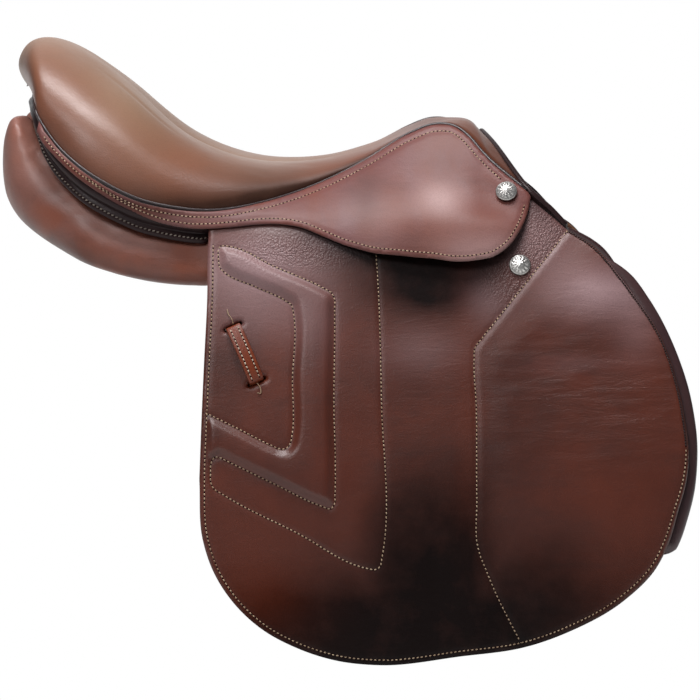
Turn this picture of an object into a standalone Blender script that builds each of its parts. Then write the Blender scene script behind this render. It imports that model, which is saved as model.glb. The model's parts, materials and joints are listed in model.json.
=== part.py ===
# An English close-contact saddle, built the way a saddler puts one together.
# Units are metres. +X points to the horse's head, +Y to the saddle's left, +Z up.
# The origin is on the centreline under the seat's deepest point, at the level the panels bear on.

import math

import bmesh
import bpy
import numpy as np
from mathutils import Vector

# General fits
FIT = 0.0003                 # gap between pieces that touch
SIDES = (("right", -1), ("left", 1))

# Leather thicknesses
COVER_THICK = 0.0022
SKIRT_THICK = 0.0024
FLAP_THICK = 0.0035
SWEAT_THICK = 0.0030
BILLET_THICK = 0.0040
WEB_THICK = 0.0016
KEEPER_THICK = 0.0022
FACING_THICK = 0.0030
PAD_THICK = 0.0030
POMMEL_BAND_THICK = 0.0050   # the rolled band round the front arch

# The form that the side leathers hang on: half width at the flap's fold, and how it widens below it
FOLD_HALF_WIDTH = 0.150
DRAWN_HALF_WIDTH = 0.150     # the half width that the tables of the seat and the panels are drawn for
WIDTH_SCALE = FOLD_HALF_WIDTH / DRAWN_HALF_WIDTH
FOLD_REAR_X = -0.0783
FOLD_REAR_Z = 0.0144
FOLD_SLOPE = -0.1252
FLARE = 0.40
FLARE_EASING = 0.40

# Joints
FOLD_GAP = 0.0010            # slit between the fixed leather and the leather that lifts
FLAP_HINGE_OUT = 0.0045      # fold axis, outside the flap's face
LOBE_FOLD_REAR = (-0.0150, 0.0283)
LOBE_FOLD_FRONT_X = 0.1985
LOBE_FOLD_SLOPE = 0.0295
LOBE_HINGE_OUT = 0.0080      # fold axis, outside the flap's face

# Bulge of the skirt over the stirrup bar
BULGE_HEIGHT = 0.0092
BULGE_CENTRE = (0.130, 0.0195)
BULGE_LENGTH = 0.060
BULGE_DEPTH = 0.0115

# Welt round the seat, and how far from it the foam stops
WELT_RADIUS = 0.0022
COVER_TUCK = WELT_RADIUS + 0.0036
WELT_OUT = 0.9 * WELT_RADIUS
FOAM_STOP = 0.0140

# Tree, springs and head plate
HEAD_PLATE_X = 0.1440
HEAD_PLATE_WIDTH = 0.0280
HEAD_PLATE_TOP = 0.0850
HEAD_PLATE_FOOT = -0.0120
FOAM_DEPTH = 0.0180
TREE_THICK = 0.0080
SPRING_THICK = 0.0020
HEAD_PLATE_THICK = 0.0030
TREE_SIDE_THICK = 0.0084

# Stirrup bar and its catch
BAR_REAR_X = 0.1000
BAR_FRONT_X = 0.1700
BAR_Z = 0.0190
BAR_BASE_THICK = 0.0040
BAR_GAP = 0.0070
BAR_THICK = 0.0044
BAR_HEIGHT = 0.0100
CATCH_LENGTH = 0.0080         # beyond the bar's rear end
CATCH_PIN_RADIUS = 0.0016
WINDOW_MARGIN = 0.0060        # round the bar, to the window's edge in the flap's top
PIN_CLEARANCE = 0.0003
RIVET_RADIUS = 0.0030
RIVET_INSET = 0.0060          # from the ends of the bar's base
DRILL_OVERRUN = 0.0060        # how far a drill runs out past the curved piece that it goes through

# Billets
BILLET_X = (0.000, 0.055, 0.110)
BILLET_WIDTH = 0.0250
BILLET_TOP_Z = -0.0180
BILLET_PIVOT_Z = -0.0270
BILLET_END_Z = -0.2950
BILLET_HOLES = 5
BILLET_HOLE_PITCH = 0.0250
BILLET_HOLE_RADIUS = 0.0025

# Keeper strap on the flap
KEEPER_CENTRE = (-0.0450, -0.0780)
KEEPER_WIDTH = 0.0130
KEEPER_SPAN = 0.0500
KEEPER_TILT = math.radians(-65.5)
KEEPER_ARCH = 0.0040
KEEPER_TAIL = 0.0100
SLOT_LENGTH = 0.0170
SLOT_WIDTH = 0.0042

# Nails
NAIL_RADIUS = 0.0093
NAIL_HEIGHT = 0.0042
SKIRT_NAIL = (0.1819, 0.0539)
FLAP_NAIL = (0.1919, -0.0055)

# Layers, as distances outwards from the flap's outer face
SKIRT_IN = 3 * FIT
SKIRT_OUT = SKIRT_IN + SKIRT_THICK
FLAP_IN = -FLAP_THICK
BAR_BASE_OUT = FLAP_IN - 0.0010
BAR_BASE_IN = BAR_BASE_OUT - BAR_BASE_THICK
BAR_IN = BAR_BASE_OUT + BAR_GAP
BAR_OUT = BAR_IN + BAR_THICK
TREE_SIDE_OUT = BAR_BASE_IN - FIT
TREE_SIDE_IN = TREE_SIDE_OUT - TREE_SIDE_THICK
BILLET_WEB_OUT = FLAP_IN - 0.0025
BILLET_WEB_IN = BILLET_WEB_OUT - WEB_THICK
BILLET_OUT = BILLET_WEB_IN - FIT
BILLET_IN = BILLET_OUT - BILLET_THICK
SWEAT_OUT = BILLET_IN - 0.0020
SWEAT_IN = SWEAT_OUT - SWEAT_THICK

ROLL_RADIUS = (FLAP_IN - SWEAT_OUT) / 2 - 2 * FIT

# Focus that the layers under the seat shrink towards
CORE = Vector((-0.040, 0.0, -0.100))

# The grid that all the layers of the seat share: shares of its length, and steps across it,
# where 1 is the edge of the foam and 2 the edge of the cover
SEAT_ROWS = (0.02, 0.05, 0.08, 0.115, 0.15, 0.19, 0.24, 0.29, 0.33, 0.39, 0.46, 0.54, 0.63,
             0.71, 0.78, 0.82, 0.86, 0.90, 0.93, 0.96, 0.995)
FOAM_STEPS = 6
HALF_STEPS = [k / FOAM_STEPS for k in range(FOAM_STEPS + 1)] + [2.0]
SEAT_STEPS = [-t for t in reversed(HALF_STEPS[1:])] + HALF_STEPS


class SmoothTable:
    """Rows of hand-set values, read at any key on a smooth curve through them."""

    def __init__(self, rows):
        table = np.array(rows, dtype=float)
        self.keys = table[:, 0]
        self.values = table[:, 1:]
        self.slopes = np.gradient(self.values, self.keys, axis=0)

    def at(self, key):
        last = len(self.keys) - 1
        if key <= self.keys[0]:
            return self.values[0] + self.slopes[0] * (key - self.keys[0])
        if key >= self.keys[last]:
            return self.values[last] + self.slopes[last] * (key - self.keys[last])
        i = min(int(np.searchsorted(self.keys, key, side="right")) - 1, last - 1)
        span = self.keys[i + 1] - self.keys[i]
        t = (key - self.keys[i]) / span
        hold, turn = (1 - t) ** 2 * (1 + 2 * t), (1 - t) ** 2 * t
        reach, bend = t * t * (3 - 2 * t), t * t * (t - 1)
        ends = hold * self.values[i] + reach * self.values[i + 1]
        return ends + span * (turn * self.slopes[i] + bend * self.slopes[i + 1])


# Sections of the seat from the rear to the pommel: share, centreline x and z,
# then x, half width and z of the seat's edge, the rim's rise beside the centre, and the fullness of the side
SEAT_SECTIONS = SmoothTable([
    (0.00, -0.2412, 0.1400, -0.2412, 0.0000, 0.1400, 0.000, 0.62),
    (0.05, -0.2500, 0.1640, -0.2368, 0.0450, 0.1385, 0.000, 0.62),
    (0.10, -0.2485, 0.1810, -0.2332, 0.0830, 0.1345, 0.000, 0.62),
    (0.15, -0.2395, 0.1880, -0.2287, 0.1100, 0.1273, 0.000, 0.62),
    (0.20, -0.2268, 0.1900, -0.2236, 0.1180, 0.1172, 0.000, 0.62),
    (0.25, -0.2075, 0.1850, -0.2098, 0.1280, 0.0986, 0.000, 0.62),
    (0.30, -0.1860, 0.1708, -0.1934, 0.1380, 0.0835, 0.003, 0.62),
    (0.35, -0.1635, 0.1500, -0.1757, 0.1440, 0.0710, 0.006, 0.62),
    (0.42, -0.1285, 0.1185, -0.1411, 0.1480, 0.0531, 0.009, 0.62),
    (0.49, -0.0940, 0.0935, -0.1069, 0.1455, 0.0443, 0.0105, 0.62),
    (0.55, -0.0620, 0.0800, -0.0761, 0.1390, 0.0412, 0.0095, 0.62),
    (0.63, -0.0200, 0.0740, -0.0317, 0.1210, 0.0469, 0.006, 0.62),
    (0.70, 0.0230, 0.0790, 0.0134, 0.0970, 0.0602, 0.0025, 0.62),
    (0.77, 0.0640, 0.0912, 0.0583, 0.0740, 0.0809, 0.000, 0.62),
    (0.83, 0.1010, 0.1048, 0.0984, 0.0620, 0.1042, 0.000, 0.56),
    (0.87, 0.1230, 0.1118, 0.1224, 0.0620, 0.1122, 0.000, 0.54),
    (0.90, 0.1380, 0.1145, 0.1399, 0.0680, 0.1098, 0.000, 0.50),
    (0.92, 0.1460, 0.1140, 0.1494, 0.0760, 0.1031, 0.000, 0.45),
    (0.95, 0.1540, 0.1115, 0.1630, 0.0890, 0.0879, -0.001, 0.38),
    (0.98, 0.1590, 0.1075, 0.1774, 0.1010, 0.0745, -0.004, 0.32),
    (1.00, 0.1620, 0.1030, 0.2029, 0.1170, 0.0545, -0.006, 0.28),
])

# The seat's edge again, read by x, and carried on along the flap's front top edge
edge_rows = [tuple(row[2:5]) for row in SEAT_SECTIONS.values]
edge_rows += [(0.2347, 0.1260, 0.0240), (0.2640, 0.1380, 0.0010), (0.3000, 0.1450, -0.0170),
              (0.3400, 0.1480, -0.0260)]
EDGE_BY_X = SmoothTable([(x, half_width * WIDTH_SCALE, z) for x, half_width, z in edge_rows])

# Panel sections from the rear to the front: x, half width inside, outside at the top and at the bottom,
# then the height of the top inside and outside, and of the bearing face inside and outside
PANEL_SECTIONS = SmoothTable([
    (-0.2630, 0.036, 0.086, 0.090, 0.106, 0.101, 0.068, 0.064),
    (-0.2500, 0.030, 0.098, 0.106, 0.122, 0.117, 0.034, 0.038),
    (-0.2300, 0.028, 0.112, 0.126, 0.112, 0.088, 0.012, 0.020),
    (-0.2000, 0.028, 0.130, 0.144, 0.098, 0.057, 0.000, -0.002),
    (-0.1600, 0.028, 0.146, 0.153, 0.074, 0.024, -0.004, -0.019),
    (-0.1100, 0.029, 0.148, 0.153, 0.050, 0.008, -0.002, -0.031),
    (-0.0500, 0.030, 0.142, 0.150, 0.036, 0.006, 0.003, -0.033),
    (0.0000, 0.031, 0.134, 0.150, 0.033, 0.014, 0.008, -0.037),
    (0.0500, 0.032, 0.124, 0.148, 0.038, 0.016, 0.014, -0.046),
    (0.1000, 0.034, 0.116, 0.146, 0.054, 0.022, 0.022, -0.062),
    (0.1500, 0.036, 0.108, 0.144, 0.068, 0.036, 0.030, -0.074),
    (0.1780, 0.038, 0.106, 0.140, 0.070, 0.040, 0.034, -0.070),
])
PANEL_REAR_X = -0.2635
PANEL_CLEARANCE = 0.0012
PANEL_FRONT_X = 0.1780


def clear_scene():
    for item in list(bpy.data.objects):
        bpy.data.objects.remove(item, do_unlink=True)


def material(name, colour, roughness, metallic=0.0):
    found = bpy.data.materials.get(name)
    if found:
        return found
    made = bpy.data.materials.new(name)
    made.use_nodes = True
    shader = made.node_tree.nodes["Principled BSDF"]
    shader.inputs["Base Color"].default_value = (*colour, 1.0)
    shader.inputs["Roughness"].default_value = roughness
    shader.inputs["Metallic"].default_value = metallic
    made.diffuse_color = (*colour, 1.0)
    return made


def seat_leather():
    return material("seat_leather", (0.34, 0.15, 0.07), 0.38)


def skirt_leather():
    return material("skirt_leather", (0.27, 0.13, 0.09), 0.42)


def flap_leather():
    return material("flap_leather", (0.24, 0.11, 0.07), 0.45)


def dark_leather():
    return material("dark_leather", (0.06, 0.04, 0.04), 0.45)


def new_leather():
    return material("keeper_leather", (0.42, 0.12, 0.05), 0.40)


def panel_leather():
    return material("panel_leather", (0.17, 0.11, 0.09), 0.50)


def laminated_wood():
    return material("tree_wood", (0.42, 0.28, 0.15), 0.60)


def spring_steel():
    return material("spring_steel", (0.30, 0.31, 0.33), 0.35, 1.0)


def stainless_steel():
    return material("stainless_steel", (0.62, 0.62, 0.60), 0.28, 1.0)


def antique_silver():
    return material("antique_silver", (0.50, 0.48, 0.44), 0.35, 1.0)


def webbing():
    return material("webbing", (0.55, 0.50, 0.40), 0.85)


def foam():
    return material("seat_foam", (0.72, 0.66, 0.45), 0.90)


def solid(name, points, faces, finish, origin=(0, 0, 0)):
    """One closed body from its points and faces, with its own origin."""
    base = Vector(origin)
    mesh = bpy.data.meshes.new(name)
    mesh.from_pydata([Vector(p) - base for p in points], [], faces)
    work = bmesh.new()
    work.from_mesh(mesh)
    bmesh.ops.recalc_face_normals(work, faces=work.faces)
    if work.calc_volume(signed=True) < 0:
        bmesh.ops.reverse_faces(work, faces=work.faces)
    work.to_mesh(mesh)
    work.free()
    mesh.shade_smooth()
    mesh.set_sharp_from_angle(angle=math.radians(40))
    mesh.materials.append(finish)
    made = bpy.data.objects.new(name, mesh)
    made.location = base
    bpy.context.scene.collection.objects.link(made)
    return made


def cutter(name, points, faces):
    """A solid that only cuts others."""
    made = solid(name, points, faces, foam())
    made.hide_render = True
    made.display_type = "WIRE"
    return made


def cut(piece, tool):
    step = piece.modifiers.new("cut", "BOOLEAN")
    step.operation = "DIFFERENCE"
    step.solver = "EXACT"
    step.object = tool


def mirror_points(points):
    return [(x, -y, z) for x, y, z in points]


def to_side(points, sign):
    """Points modelled on the right, moved to the side that sign names."""
    return mirror_points(points) if sign > 0 else points


def fold_z(x):
    return FOLD_REAR_Z + FOLD_SLOPE * (x - FOLD_REAR_X)


def lobe_fold_z(x):
    return LOBE_FOLD_REAR[1] + LOBE_FOLD_SLOPE * (x - LOBE_FOLD_REAR[0])


def side_half_width(x, z):
    """Half width of the flap's outer face at a place seen from the side."""
    below = fold_z(x) - z
    if below >= 0:
        return FOLD_HALF_WIDTH + FLARE * below - FLARE_EASING * below ** 2
    edge_half_width, edge_z = EDGE_BY_X.at(x)
    rise = edge_z - fold_z(x)
    share = -below / rise
    pull = FOLD_HALF_WIDTH - edge_half_width - FLARE * rise
    return FOLD_HALF_WIDTH - FLARE * rise * share - pull * share ** 2


def side_normal(x, z):
    step = 0.001
    by_x = (side_half_width(x + step, z) - side_half_width(x - step, z)) / (2 * step)
    by_z = (side_half_width(x, z + step) - side_half_width(x, z - step)) / (2 * step)
    return Vector((-by_x, -1.0, -by_z)).normalized()


def on_side(x, z, out=0.0):
    """A place on the right side, this far outside the flap's outer face."""
    return Vector((x, -side_half_width(x, z), z)) + out * side_normal(x, z)


def skirt_bulge(x, z):
    """How far the skirt stands off for the stirrup bar beneath it."""
    along = (x - BULGE_CENTRE[0]) / BULGE_LENGTH
    across = (z - BULGE_CENTRE[1]) / BULGE_DEPTH
    return BULGE_HEIGHT * math.exp(-0.5 * (along ** 4 + across ** 2))


def smooth_run(points, per_span=4):
    """A smooth curve through the points, as a list that leaves out its last point."""
    if len(points) == 2:
        return [tuple(points[0])]
    lengths = np.cumsum([0.0] + [math.dist(a, b) for a, b in zip(points, points[1:])])
    table = SmoothTable([(s, *p) for s, p in zip(lengths, points)])
    run = []
    for a, b in zip(lengths, lengths[1:]):
        run += [tuple(table.at(a + (b - a) * k / per_span).tolist()) for k in range(per_span)]
    return run


def outline(*runs, per_span=3):
    """A closed outline from runs of points that meet at corners."""
    loop = []
    for run in runs:
        loop += smooth_run(run, per_span)
    return loop


def side_sheet(name, loop, inner, outer, finish, sign, cells=(0.024, 0.024), origin=(0, 0, 0)):
    """Leather cut to an outline seen from the side, bent over the saddle's side.

    inner and outer give the distance of its two faces from the flap's outer face, and cells the
    size of its facets along and up the saddle."""
    flat = bmesh.new()
    flat.faces.new([flat.verts.new((x, 0.0, z)) for x, z in loop])
    for axis, cell in ((0, cells[0]), (2, cells[1])):
        low = min(v.co[axis] for v in flat.verts)
        high = max(v.co[axis] for v in flat.verts)
        count = max(1, round((high - low) / cell))
        for k in range(1, count):
            place, normal = [0.0, 0.0, 0.0], [0.0, 0.0, 0.0]
            place[axis] = low + (high - low) * k / count
            normal[axis] = 1.0
            everything = flat.verts[:] + flat.edges[:] + flat.faces[:]
            bmesh.ops.bisect_plane(flat, geom=everything, plane_co=place, plane_no=normal, dist=1e-6)
    flat.verts.index_update()
    corners = [(v.co.x, v.co.z) for v in flat.verts]
    faces = [[v.index for v in f.verts] for f in flat.faces]
    rims = [(e.verts[0].index, e.verts[1].index) for e in flat.edges if e.is_boundary]
    flat.free()
    count = len(corners)
    outside = [on_side(x, z, outer(x, z)) for x, z in corners]
    inside = [on_side(x, z, inner(x, z)) for x, z in corners]
    walls = [(a, b, b + count, a + count) for a, b in rims]
    shapes = faces + [[i + count for i in reversed(f)] for f in faces] + walls
    points = to_side([tuple(p) for p in outside + inside], sign)
    return solid(name, points, shapes, finish, origin)


def level(distance):
    """A face that stays at one distance from the flap's outer face."""
    return lambda x, z: distance


def over_bar(distance):
    """A face of the skirt, which bulges over the stirrup bar."""
    return lambda x, z: distance + skirt_bulge(x, z)


def edge_place(s):
    """A place on the seat's edge, on its left."""
    x, half_width, z = SEAT_SECTIONS.at(s)[2:5]
    return Vector((x, half_width * WIDTH_SCALE, z))


def seat_section(s):
    """Control points of half a section of the seat, on its left."""
    cx, cz, ex, ey, ez, rim, fullness = SEAT_SECTIONS.at(s)
    ey *= WIDTH_SCALE
    rise = max(cz - ez, 0.008)
    reach = ex - cx
    return (
        Vector((cx, 0.0, cz)),
        Vector((cx + 0.35 * reach, 0.55 * ey, cz + 2.0 * rim)),
        Vector((ex - 0.20 * reach, (0.84 + 0.29 * fullness) * ey, ez + fullness * rise + rim)),
        Vector((ex, ey, ez)),
    )


def section_place(controls, share):
    back = 1.0 - share
    weights = (back ** 3, 3 * back ** 2 * share, 3 * back * share ** 2, share ** 3)
    total = controls[0] * weights[0]
    for weight, control in zip(weights[1:], controls[1:]):
        total = total + control * weight
    return total


def seat_place(s, t, depth=0.0):
    """A place on the seat: s from the cantle to the pommel, t across it from -2 at the right edge to 2
    at the left, sunk by depth towards the core. The foam ends at -1 and 1."""
    controls = seat_section(s)
    trail = [section_place(controls, k / 24) for k in range(25)]
    lengths = np.cumsum([0.0] + [(b - a).length for a, b in zip(trail, trail[1:])])
    whole = lengths[-1]
    stop, tuck = min(FOAM_STOP, 0.40 * whole), min(COVER_TUCK, 0.20 * whole)
    step = abs(t)
    along = (whole - stop) * step if step <= 1 else whole - stop + (step - 1) * (stop - tuck)
    place = section_place(controls, float(np.interp(along, lengths, np.linspace(0, 1, 25))))
    place.y *= 1.0 if t >= 0 else -1.0
    return place + depth * (CORE - place).normalized()


def seat_layer(name, rows, steps, top, bottom, finish, inside=None):
    """A layer of the seat between two depths, over the rows and steps between two values each;
    inside(s, t) says which cells it covers."""
    rows = [s for s in SEAT_ROWS if rows[0] <= s <= rows[1]]
    steps = [t for t in SEAT_STEPS if steps[0] - 0.01 <= t <= steps[1] + 0.01]
    columns = len(steps)
    upper = [seat_place(s, t, top(s, t)) for s in rows for t in steps]
    lower = [seat_place(s, t, bottom(s, t)) for s in rows for t in steps]
    cells = []
    for i in range(len(rows) - 1):
        for j in range(columns - 1):
            middle = ((rows[i] + rows[i + 1]) / 2, (steps[j] + steps[j + 1]) / 2)
            if inside is None or inside(*middle):
                a = i * columns + j
                cells += [(a, a + 1, a + columns + 1), (a, a + columns + 1, a + columns)]
    return layered(name, upper, lower, cells, len(upper), finish)


def layered(name, upper, lower, cells, count, finish):
    """A closed body from two matching layers of points and the cells between them."""
    borders = {}
    for cell in cells:
        for a, b in zip(cell, cell[1:] + cell[:1]):
            key = (min(a, b), max(a, b))
            borders[key] = borders.get(key, 0) + 1
    walls = [(a, b, b + count, a + count) for (a, b), uses in borders.items() if uses == 1]
    faces = list(cells) + [tuple(i + count for i in reversed(c)) for c in cells] + walls
    used = sorted({i for face in faces for i in face})
    renumber = {old: new for new, old in enumerate(used)}
    points = [(upper + lower)[i] for i in used]
    return solid(name, points, [[renumber[i] for i in face] for face in faces], finish)


def even(low, high, count):
    return [low + (high - low) * k / count for k in range(count + 1)]


def foam_depth(s, t):
    """The foam is full in the seat and thins out at the cantle's rear and at the pommel."""
    fade_rear = min(1.0, 0.35 + s / 0.35)
    fade_front = min(1.0, 0.55 + (1.0 - s) / 0.25)
    return COVER_THICK + FIT + FOAM_DEPTH * fade_rear * fade_front


def make_seat():
    seat_layer("seat_cover", (0, 1), (-2, 2), lambda s, t: 0.0, lambda s, t: COVER_THICK, seat_leather())
    seat_layer("seat_foam", (0.08, 0.96), (-1, 1), lambda s, t: COVER_THICK + FIT, foam_depth, foam())


def make_webs():
    """Webs strained over the open middle of the tree: one along it, and one across."""
    top = lambda s, t: foam_depth(s, t) + FIT
    low = lambda s, t: top(s, t) + WEB_THICK
    seat_layer("seat_web_long", (0.29, 0.90), (-1 / 3, 1 / 3), top, low, webbing())
    top_cross = lambda s, t: low(s, t) + FIT
    low_cross = lambda s, t: top_cross(s, t) + WEB_THICK
    seat_layer("seat_web_cross", (0.54, 0.63), (-1, 1), top_cross, low_cross, webbing())


def tree_top(s, t):
    return foam_depth(s, t) + 2 * (WEB_THICK + FIT) + FIT


def tree_low(s, t):
    return tree_top(s, t) + TREE_THICK


def make_tree():
    """The spring tree: a cantle, two rails round the open middle, and a head."""
    cantle_end, head_start, rail_inside = 0.33, 0.82, 0.5
    covers = lambda s, t: s < cantle_end or s > head_start or abs(t) > rail_inside
    seat_layer("tree_frame", (0.08, 0.96), (-1, 1), tree_top, tree_low, laminated_wood(), covers)
    top = lambda s, t: tree_low(s, t) + FIT
    low = lambda s, t: top(s, t) + SPRING_THICK
    for name, sign in SIDES:
        across = sorted((sign * 4 / 6, sign * 5 / 6))
        seat_layer("tree_spring_" + name, (0.24, 0.90), across, top, low, spring_steel())


def make_tree_sides():
    """The side pieces of the tree: the seat of the stirrup bar, and the point in front of it."""
    for name, sign in SIDES:
        loop = outline(
            [(-0.030, 0.026), (0.020, 0.014), (0.070, 0.002), (0.100, -0.006), (0.130, -0.014)],
            [(0.130, -0.014), (0.142, -0.026), (0.160, -0.029), (0.176, -0.024)],
            [(0.176, -0.024), (0.182, 0.010), (0.180, 0.040), (0.170, 0.058)],
            [(0.170, 0.058), (0.140, 0.070), (0.100, 0.062), (0.060, 0.048), (0.000, 0.036),
             (-0.030, 0.032)],
            [(-0.030, 0.032), (-0.030, 0.026)],
            per_span=2,
        )
        side_sheet("tree_side_" + name, loop, level(TREE_SIDE_IN), level(TREE_SIDE_OUT), laminated_wood(),
                   sign, cells=(0.034, 0.016))


def ribbon(name, path, across, thick, finish, width_at):
    """A flat bar along a path; across and thick are its two directions at each point."""
    points, faces = [], []
    for place, side, depth, width in zip(path, across, thick, width_at):
        for a, b in ((-0.5, 0), (0.5, 0), (0.5, 1), (-0.5, 1)):
            points.append(place + side * width * a + depth * b)
    count = len(path)
    for i in range(count - 1):
        for k in range(4):
            a, b = 4 * i + k, 4 * i + (k + 1) % 4
            faces.append((a, b, b + 4, a + 4))
    faces.append((3, 2, 1, 0))
    faces.append(tuple(4 * (count - 1) + k for k in range(4)))
    return solid(name, points, faces, finish)


def inside_half_width(x, z, depth):
    """Half width at this distance inside the flap's outer face."""
    return side_half_width(x, z) + depth / abs(side_normal(x, z).y)


def make_head_plate():
    """Steel arch under the head of the tree: legs on the tree's side pieces, and a crown between them."""
    leg_top = 0.040
    legs = []
    for z in even(HEAD_PLATE_FOOT, leg_top, 5):
        half_widths = [inside_half_width(HEAD_PLATE_X + HEAD_PLATE_WIDTH * a, z, TREE_SIDE_IN - 3 * FIT)
                       for a in (-0.5, 0, 0.5)]
        legs.append((min(half_widths), z))
    lean = ((legs[-1][0] - legs[-2][0]), (legs[-1][1] - legs[-2][1]))
    reach = (HEAD_PLATE_TOP - leg_top) / lean[1] * 0.75
    controls = (Vector((legs[-1][0], leg_top)),
                Vector((legs[-1][0] + lean[0] * reach, leg_top + lean[1] * reach)),
                Vector((legs[-1][0] * 0.40, HEAD_PLATE_TOP)), Vector((0.0, HEAD_PLATE_TOP)))
    half = legs + [tuple(section_place(controls, k / 7)) for k in range(1, 8)]
    line = [(-y, z) for y, z in half] + [(y, z) for y, z in reversed(half[:-1])]
    path, across, thick = [], [], []
    for k, (y, z) in enumerate(line):
        before, after = line[max(k - 1, 0)], line[min(k + 1, len(line) - 1)]
        run = Vector((0, after[0] - before[0], after[1] - before[1])).normalized()
        path.append(Vector((HEAD_PLATE_X, y, z)))
        across.append(Vector((1, 0, 0)))
        thick.append(Vector((0, run.z, -run.y)) * HEAD_PLATE_THICK)
    ribbon("head_plate", path, across, thick, spring_steel(), [HEAD_PLATE_WIDTH] * len(path))


def panel_ring(x, grow=1.0):
    """Section of the right panel at x, from the channel's top round by the outside."""
    inside, top_out, low_out, top_z_in, top_z_out, low_z_in, low_z_out = PANEL_SECTIONS.at(x)
    corners = [
        Vector((x, inside, top_z_in)), Vector((x, top_out * WIDTH_SCALE, top_z_out)),
        Vector((x, low_out * WIDTH_SCALE, low_z_out)), Vector((x, inside, low_z_in)),
    ]
    softness = (0.22, 0.30, 0.42, 0.34)
    ring = []
    for k, corner in enumerate(corners):
        before, after = corners[k - 1], corners[(k + 1) % 4]
        share = softness[k]
        start, end = corner.lerp(before, share), corner.lerp(after, share)
        for t in (0.0, 0.33, 0.67, 1.0):
            ring.append(start.lerp(corner, t).lerp(corner.lerp(end, t), t))
    middle = sum(corners, Vector()) / 4
    return [middle.lerp(p, grow) for p in ring]


def panel_limit(x, z):
    """Half width that the panel keeps to, inside the sweat flap, the tree's side and the head plate."""
    if x < FOLD_REAR_X - 0.040:
        return 1.0
    depth = min(SWEAT_IN, TREE_SIDE_IN) - PANEL_CLEARANCE
    if abs(x - HEAD_PLATE_X) < 2 * HEAD_PLATE_WIDTH:
        depth -= HEAD_PLATE_THICK + 6 * FIT
    return inside_half_width(x, z, depth)


def make_panels():
    xs = [PANEL_REAR_X + 0.030 * (1 - math.cos(0.5 * math.pi * k / 4)) for k in range(5)]
    xs += even(PANEL_REAR_X + 0.055, PANEL_FRONT_X - 0.012, 11)
    xs += [PANEL_FRONT_X - 0.004, PANEL_FRONT_X]
    for name, sign in SIDES:
        points, faces = [], []
        for k, x in enumerate(xs):
            grow = 1.0
            if k < 4:
                grow = 0.55 + 0.45 * math.sin(0.5 * math.pi * k / 4)
            if x > PANEL_FRONT_X - 0.006:
                grow = 0.96 if x < PANEL_FRONT_X else 0.86
            for p in panel_ring(x, grow):
                points.append((p.x, -min(p.y, panel_limit(p.x, p.z)), p.z))
        size = len(points) // len(xs)
        for i in range(len(xs) - 1):
            for k in range(size):
                a, b = size * i + k, size * i + (k + 1) % size
                faces.append((a, b, b + size, a + size))
        faces.append(tuple(reversed(range(size))))
        faces.append(tuple(size * (len(xs) - 1) + k for k in range(size)))
        solid("panel_" + name, to_side(points, sign), faces, panel_leather())


def make_channel_lining():
    """Leather that joins the panels over the open channel."""
    xs = even(-0.240, 0.120, 12)
    path, across, thick, widths = [], [], [], []
    for x in xs:
        inside, top_z_in, low_z_in = (PANEL_SECTIONS.at(x)[k] for k in (0, 3, 5))
        path.append(Vector((x, 0.0, top_z_in - 0.28 * (top_z_in - low_z_in))))
        across.append(Vector((0, 1, 0)))
        thick.append(Vector((0, 0, -0.0020)))
        widths.append(2 * (inside - FIT))
    ribbon("channel_lining", path, across, thick, panel_leather(), widths)


def edge_outwards(s):
    """The level direction out of the seat's edge, on the left."""
    run = edge_place(s + 0.01) - edge_place(max(s - 0.01, 0.0))
    return Vector((-run.y, run.x, 0)).normalized()


def seat_edge_path():
    """The welt's path, just outside the seat's edge, from the right front round the cantle to the left."""
    left = [edge_place(s) + WELT_OUT * edge_outwards(s) for s in (0.0,) + SEAT_ROWS]
    left[0].y = 0.0
    return [Vector((p.x, -p.y, p.z)) for p in reversed(left[1:])] + left


def tube(name, path, radius, sides, finish):
    """A round cord along a path, closed at both ends."""
    points, faces = [], []
    for i, place in enumerate(path):
        ahead = (path[min(i + 1, len(path) - 1)] - path[max(i - 1, 0)]).normalized()
        reference = Vector((0, 0, 1)) if abs(ahead.z) < 0.9 else Vector((1, 0, 0))
        u = ahead.cross(reference).normalized()
        v = u.cross(ahead).normalized()
        for k in range(sides):
            angle = 2 * math.pi * k / sides
            points.append(place + radius * (math.cos(angle) * u + math.sin(angle) * v))
    for i in range(len(path) - 1):
        for k in range(sides):
            a, b = sides * i + k, sides * i + (k + 1) % sides
            faces.append((a, b, b + sides, a + sides))
    faces.append(tuple(reversed(range(sides))))
    faces.append(tuple(sides * (len(path) - 1) + k for k in range(sides)))
    return solid(name, points, faces, finish)


def make_welt():
    tube("seat_welt", seat_edge_path(), WELT_RADIUS, 6, dark_leather())


# The skirt's outline seen from the side: where its top edge is read, its lower edge, and its front tip
SKIRT_TOP_X = (-0.222, -0.205, -0.175, -0.140, -0.100, -0.060, -0.020, 0.020, 0.060, 0.090, 0.110,
               0.124, 0.136, 0.146, 0.158, 0.175, 0.199)
SKIRT_TUCK = WELT_RADIUS + 0.0023
SKIRT_REAR_EDGE = [(-0.2265, 0.1080), (-0.2206, 0.0984), (-0.2057, 0.0834), (-0.1876, 0.0685),
                   (-0.1701, 0.0568), (-0.1528, 0.0466), (-0.1356, 0.0380), (-0.1176, 0.0311),
                   (-0.0950, 0.0265), (-0.0584, 0.0266), (-0.0386, 0.0282)]
SKIRT_LOBE_EDGE = [(0.0120, 0.0222), (0.0433, 0.0097), (0.0620, 0.0050), (0.0912, 0.0044),
                   (0.1143, 0.0030), (0.1373, 0.0004), (0.1546, 0.0015), (0.1719, 0.0053),
                   (0.1839, 0.0114), (0.1922, 0.0213)]
SKIRT_TIP = (0.2025, 0.0500)
LOBE_INSET = 0.0080          # where the lobe's edge starts, in front of the fold's rear end


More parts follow.
